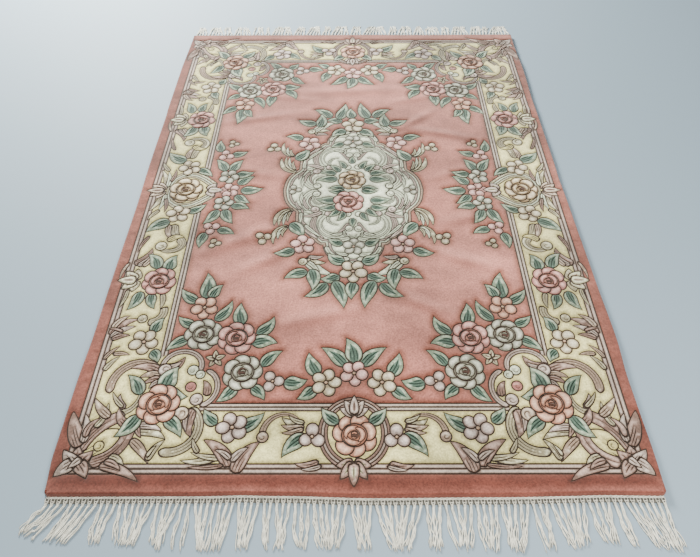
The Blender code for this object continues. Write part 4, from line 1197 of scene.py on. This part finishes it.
def cotton(name, colour, ply):
    """Undyed cotton, with the slanting ridges of its twist, a mottled tone, and painted shade from the lit
    attribute.
    """
    made, tree, shader = material(name)
    spot = add(tree, "ShaderNodeTexCoord").outputs["Object"]
    mottle = add(tree, "ShaderNodeTexNoise", {"Scale": 55.0, "Detail": 3.0}, {"Vector": spot})
    # Painted shade: the colour falls towards a dark tone at the yarns' sides and on the shadow ribbon; a noise
    # mottles it.
    lit = add(tree, "ShaderNodeAttribute", attribute_name="lit")
    limits_in = {"From Min": -1.0, "From Max": 1.0, "To Min": -1.7, "To Max": 1.0}
    lit_shade = add(tree, "ShaderNodeMapRange", limits_in, {"Value": lit.outputs["Fac"]})
    share = add(tree, "ShaderNodeMath", operation="MULTIPLY_ADD", use_clamp=True,
                links={0: lit_shade.outputs[0], 2: mottle.outputs["Fac"]})
    share.inputs[1].default_value = 0.5
    ramp = add(tree, "ShaderNodeMix", data_type="RGBA", links={0: share.outputs[0]})
    ramp.inputs[6].default_value = (*[c * SHADE_AND_MOTTLE_TONE for c in linear(colour)], 1.0)
    ramp.inputs[7].default_value = (*linear(colour), 1.0)
    tree.links.new(ramp.outputs[2], shader.inputs["Base Color"])
    waves = add(tree, "ShaderNodeTexWave", {"Scale": 0.31 / ply, "Distortion": 2.0, "Detail": 1.0},
                {"Vector": spot}, bands_direction="DIAGONAL")
    bump = add(tree, "ShaderNodeBump", {"Strength": 0.5, "Distance": 0.0006},
               {"Height": waves.outputs["Fac"]})
    tree.links.new(bump.outputs["Normal"], shader.inputs["Normal"])
    shader.inputs["Roughness"].default_value = 0.88
    shader.inputs["Sheen Weight"].default_value = 0.2
    return made


yarn_cotton = cotton("plied_cotton_yarn", "#fdf9ea", PLY)
cloth_cotton = cotton("woven_cotton_back", "#cfc4ac", 0.0020)
for piece in (near_fringe, far_fringe):
    painted(piece, yarn_cotton)
painted(backing, cloth_cotton)
print("materials", [m.name for m in (wool, yarn_cotton, cloth_cotton)])

# %% [markdown]
# ## What the pieces stand for
# The CAD parts that these pieces replace are hidden, and each piece moves with the root body. The strips,
# the back and the fringes are sheets of cloth that lie flat.

# %% The CAD parts hidden and the pieces attached
for piece, low, high in zip(strips, limits, limits[1:]):
    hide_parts("rug_pile")
    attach(piece, "root")
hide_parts("rug_pile")
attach(backing, "root")
for piece, node in ((near_fringe, "fringe_front"), (far_fringe, "fringe_back")):
    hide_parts(node)
    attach(piece, "root")

# %% [markdown]
# ## Floor, light and camera
# The floor is plain and pale. Daylight comes from beyond the far end, as from a wide window, so the
# far half shows more bloom, and painted shade darkens the near half of the pile. The camera stands where a
# standing person holds it, at the near end.

# %% Floor
FLOOR_SIZE = 60.0
bpy.ops.object.select_all(action="DESELECT")
bpy.ops.mesh.primitive_plane_add(size=FLOOR_SIZE, location=(0.0, 0.0, 0.0))
floor = bpy.context.object
floor.name = "floor"
floor_paint, tree, shader = material("plain_floor")
shader.inputs["Base Color"].default_value = (*linear("#93a5b4"), 1.0)
shader.inputs["Roughness"].default_value = 0.7
painted(floor, floor_paint)

# %% Lights
world = bpy.data.worlds.new("studio")
bpy.context.scene.world = world
world.use_nodes = True
world.node_tree.nodes["Background"].inputs["Color"].default_value = (*linear("#f1f5f3"), 1.0)
world.node_tree.nodes["Background"].inputs["Strength"].default_value = 0.36


def lamp(name, place, aim, size, watts, colour):
    """A square soft light that faces a point."""
    light = bpy.data.lights.new(name, "AREA")
    light.size = size
    light.energy = watts
    light.color = linear(colour)
    made = bpy.data.objects.new(name, light)
    bpy.context.scene.collection.objects.link(made)
    made.location = place
    away = np.array(aim, float) - np.array(place, float)
    made.rotation_euler = (math.acos(-away[2] / np.linalg.norm(away)), 0.0, math.atan2(-away[0], away[1]))
    return made


LAMPS = table(
    "name place aim size watts colour",
    ("window", (-2.2, 4.0, 2.2), (0.0, 0.0, 0.0), 1.4, 860, "#fbfff9"),
    ("ceiling", (1.2, -2.4, 2.4), (0.0, -1.1, 0.0), 1.6, 125, "#fffdf4"),
)
for row in LAMPS:
    lamp(**row)

# %% Camera
CAMERA_LENS = 28.677
CAMERA_PLACE = (-0.0074, -1.6686, 1.5757)
CAMERA_TURN = (37.84, 0.19, 0.03)
camera_data = bpy.data.cameras.new("camera")
camera_data.lens = CAMERA_LENS
camera_data.sensor_width = 36.0
camera = bpy.data.objects.new("camera", camera_data)
bpy.context.scene.collection.objects.link(camera)
camera.location = CAMERA_PLACE
camera.rotation_euler = [math.radians(angle) for angle in CAMERA_TURN]
bpy.context.scene.camera = camera
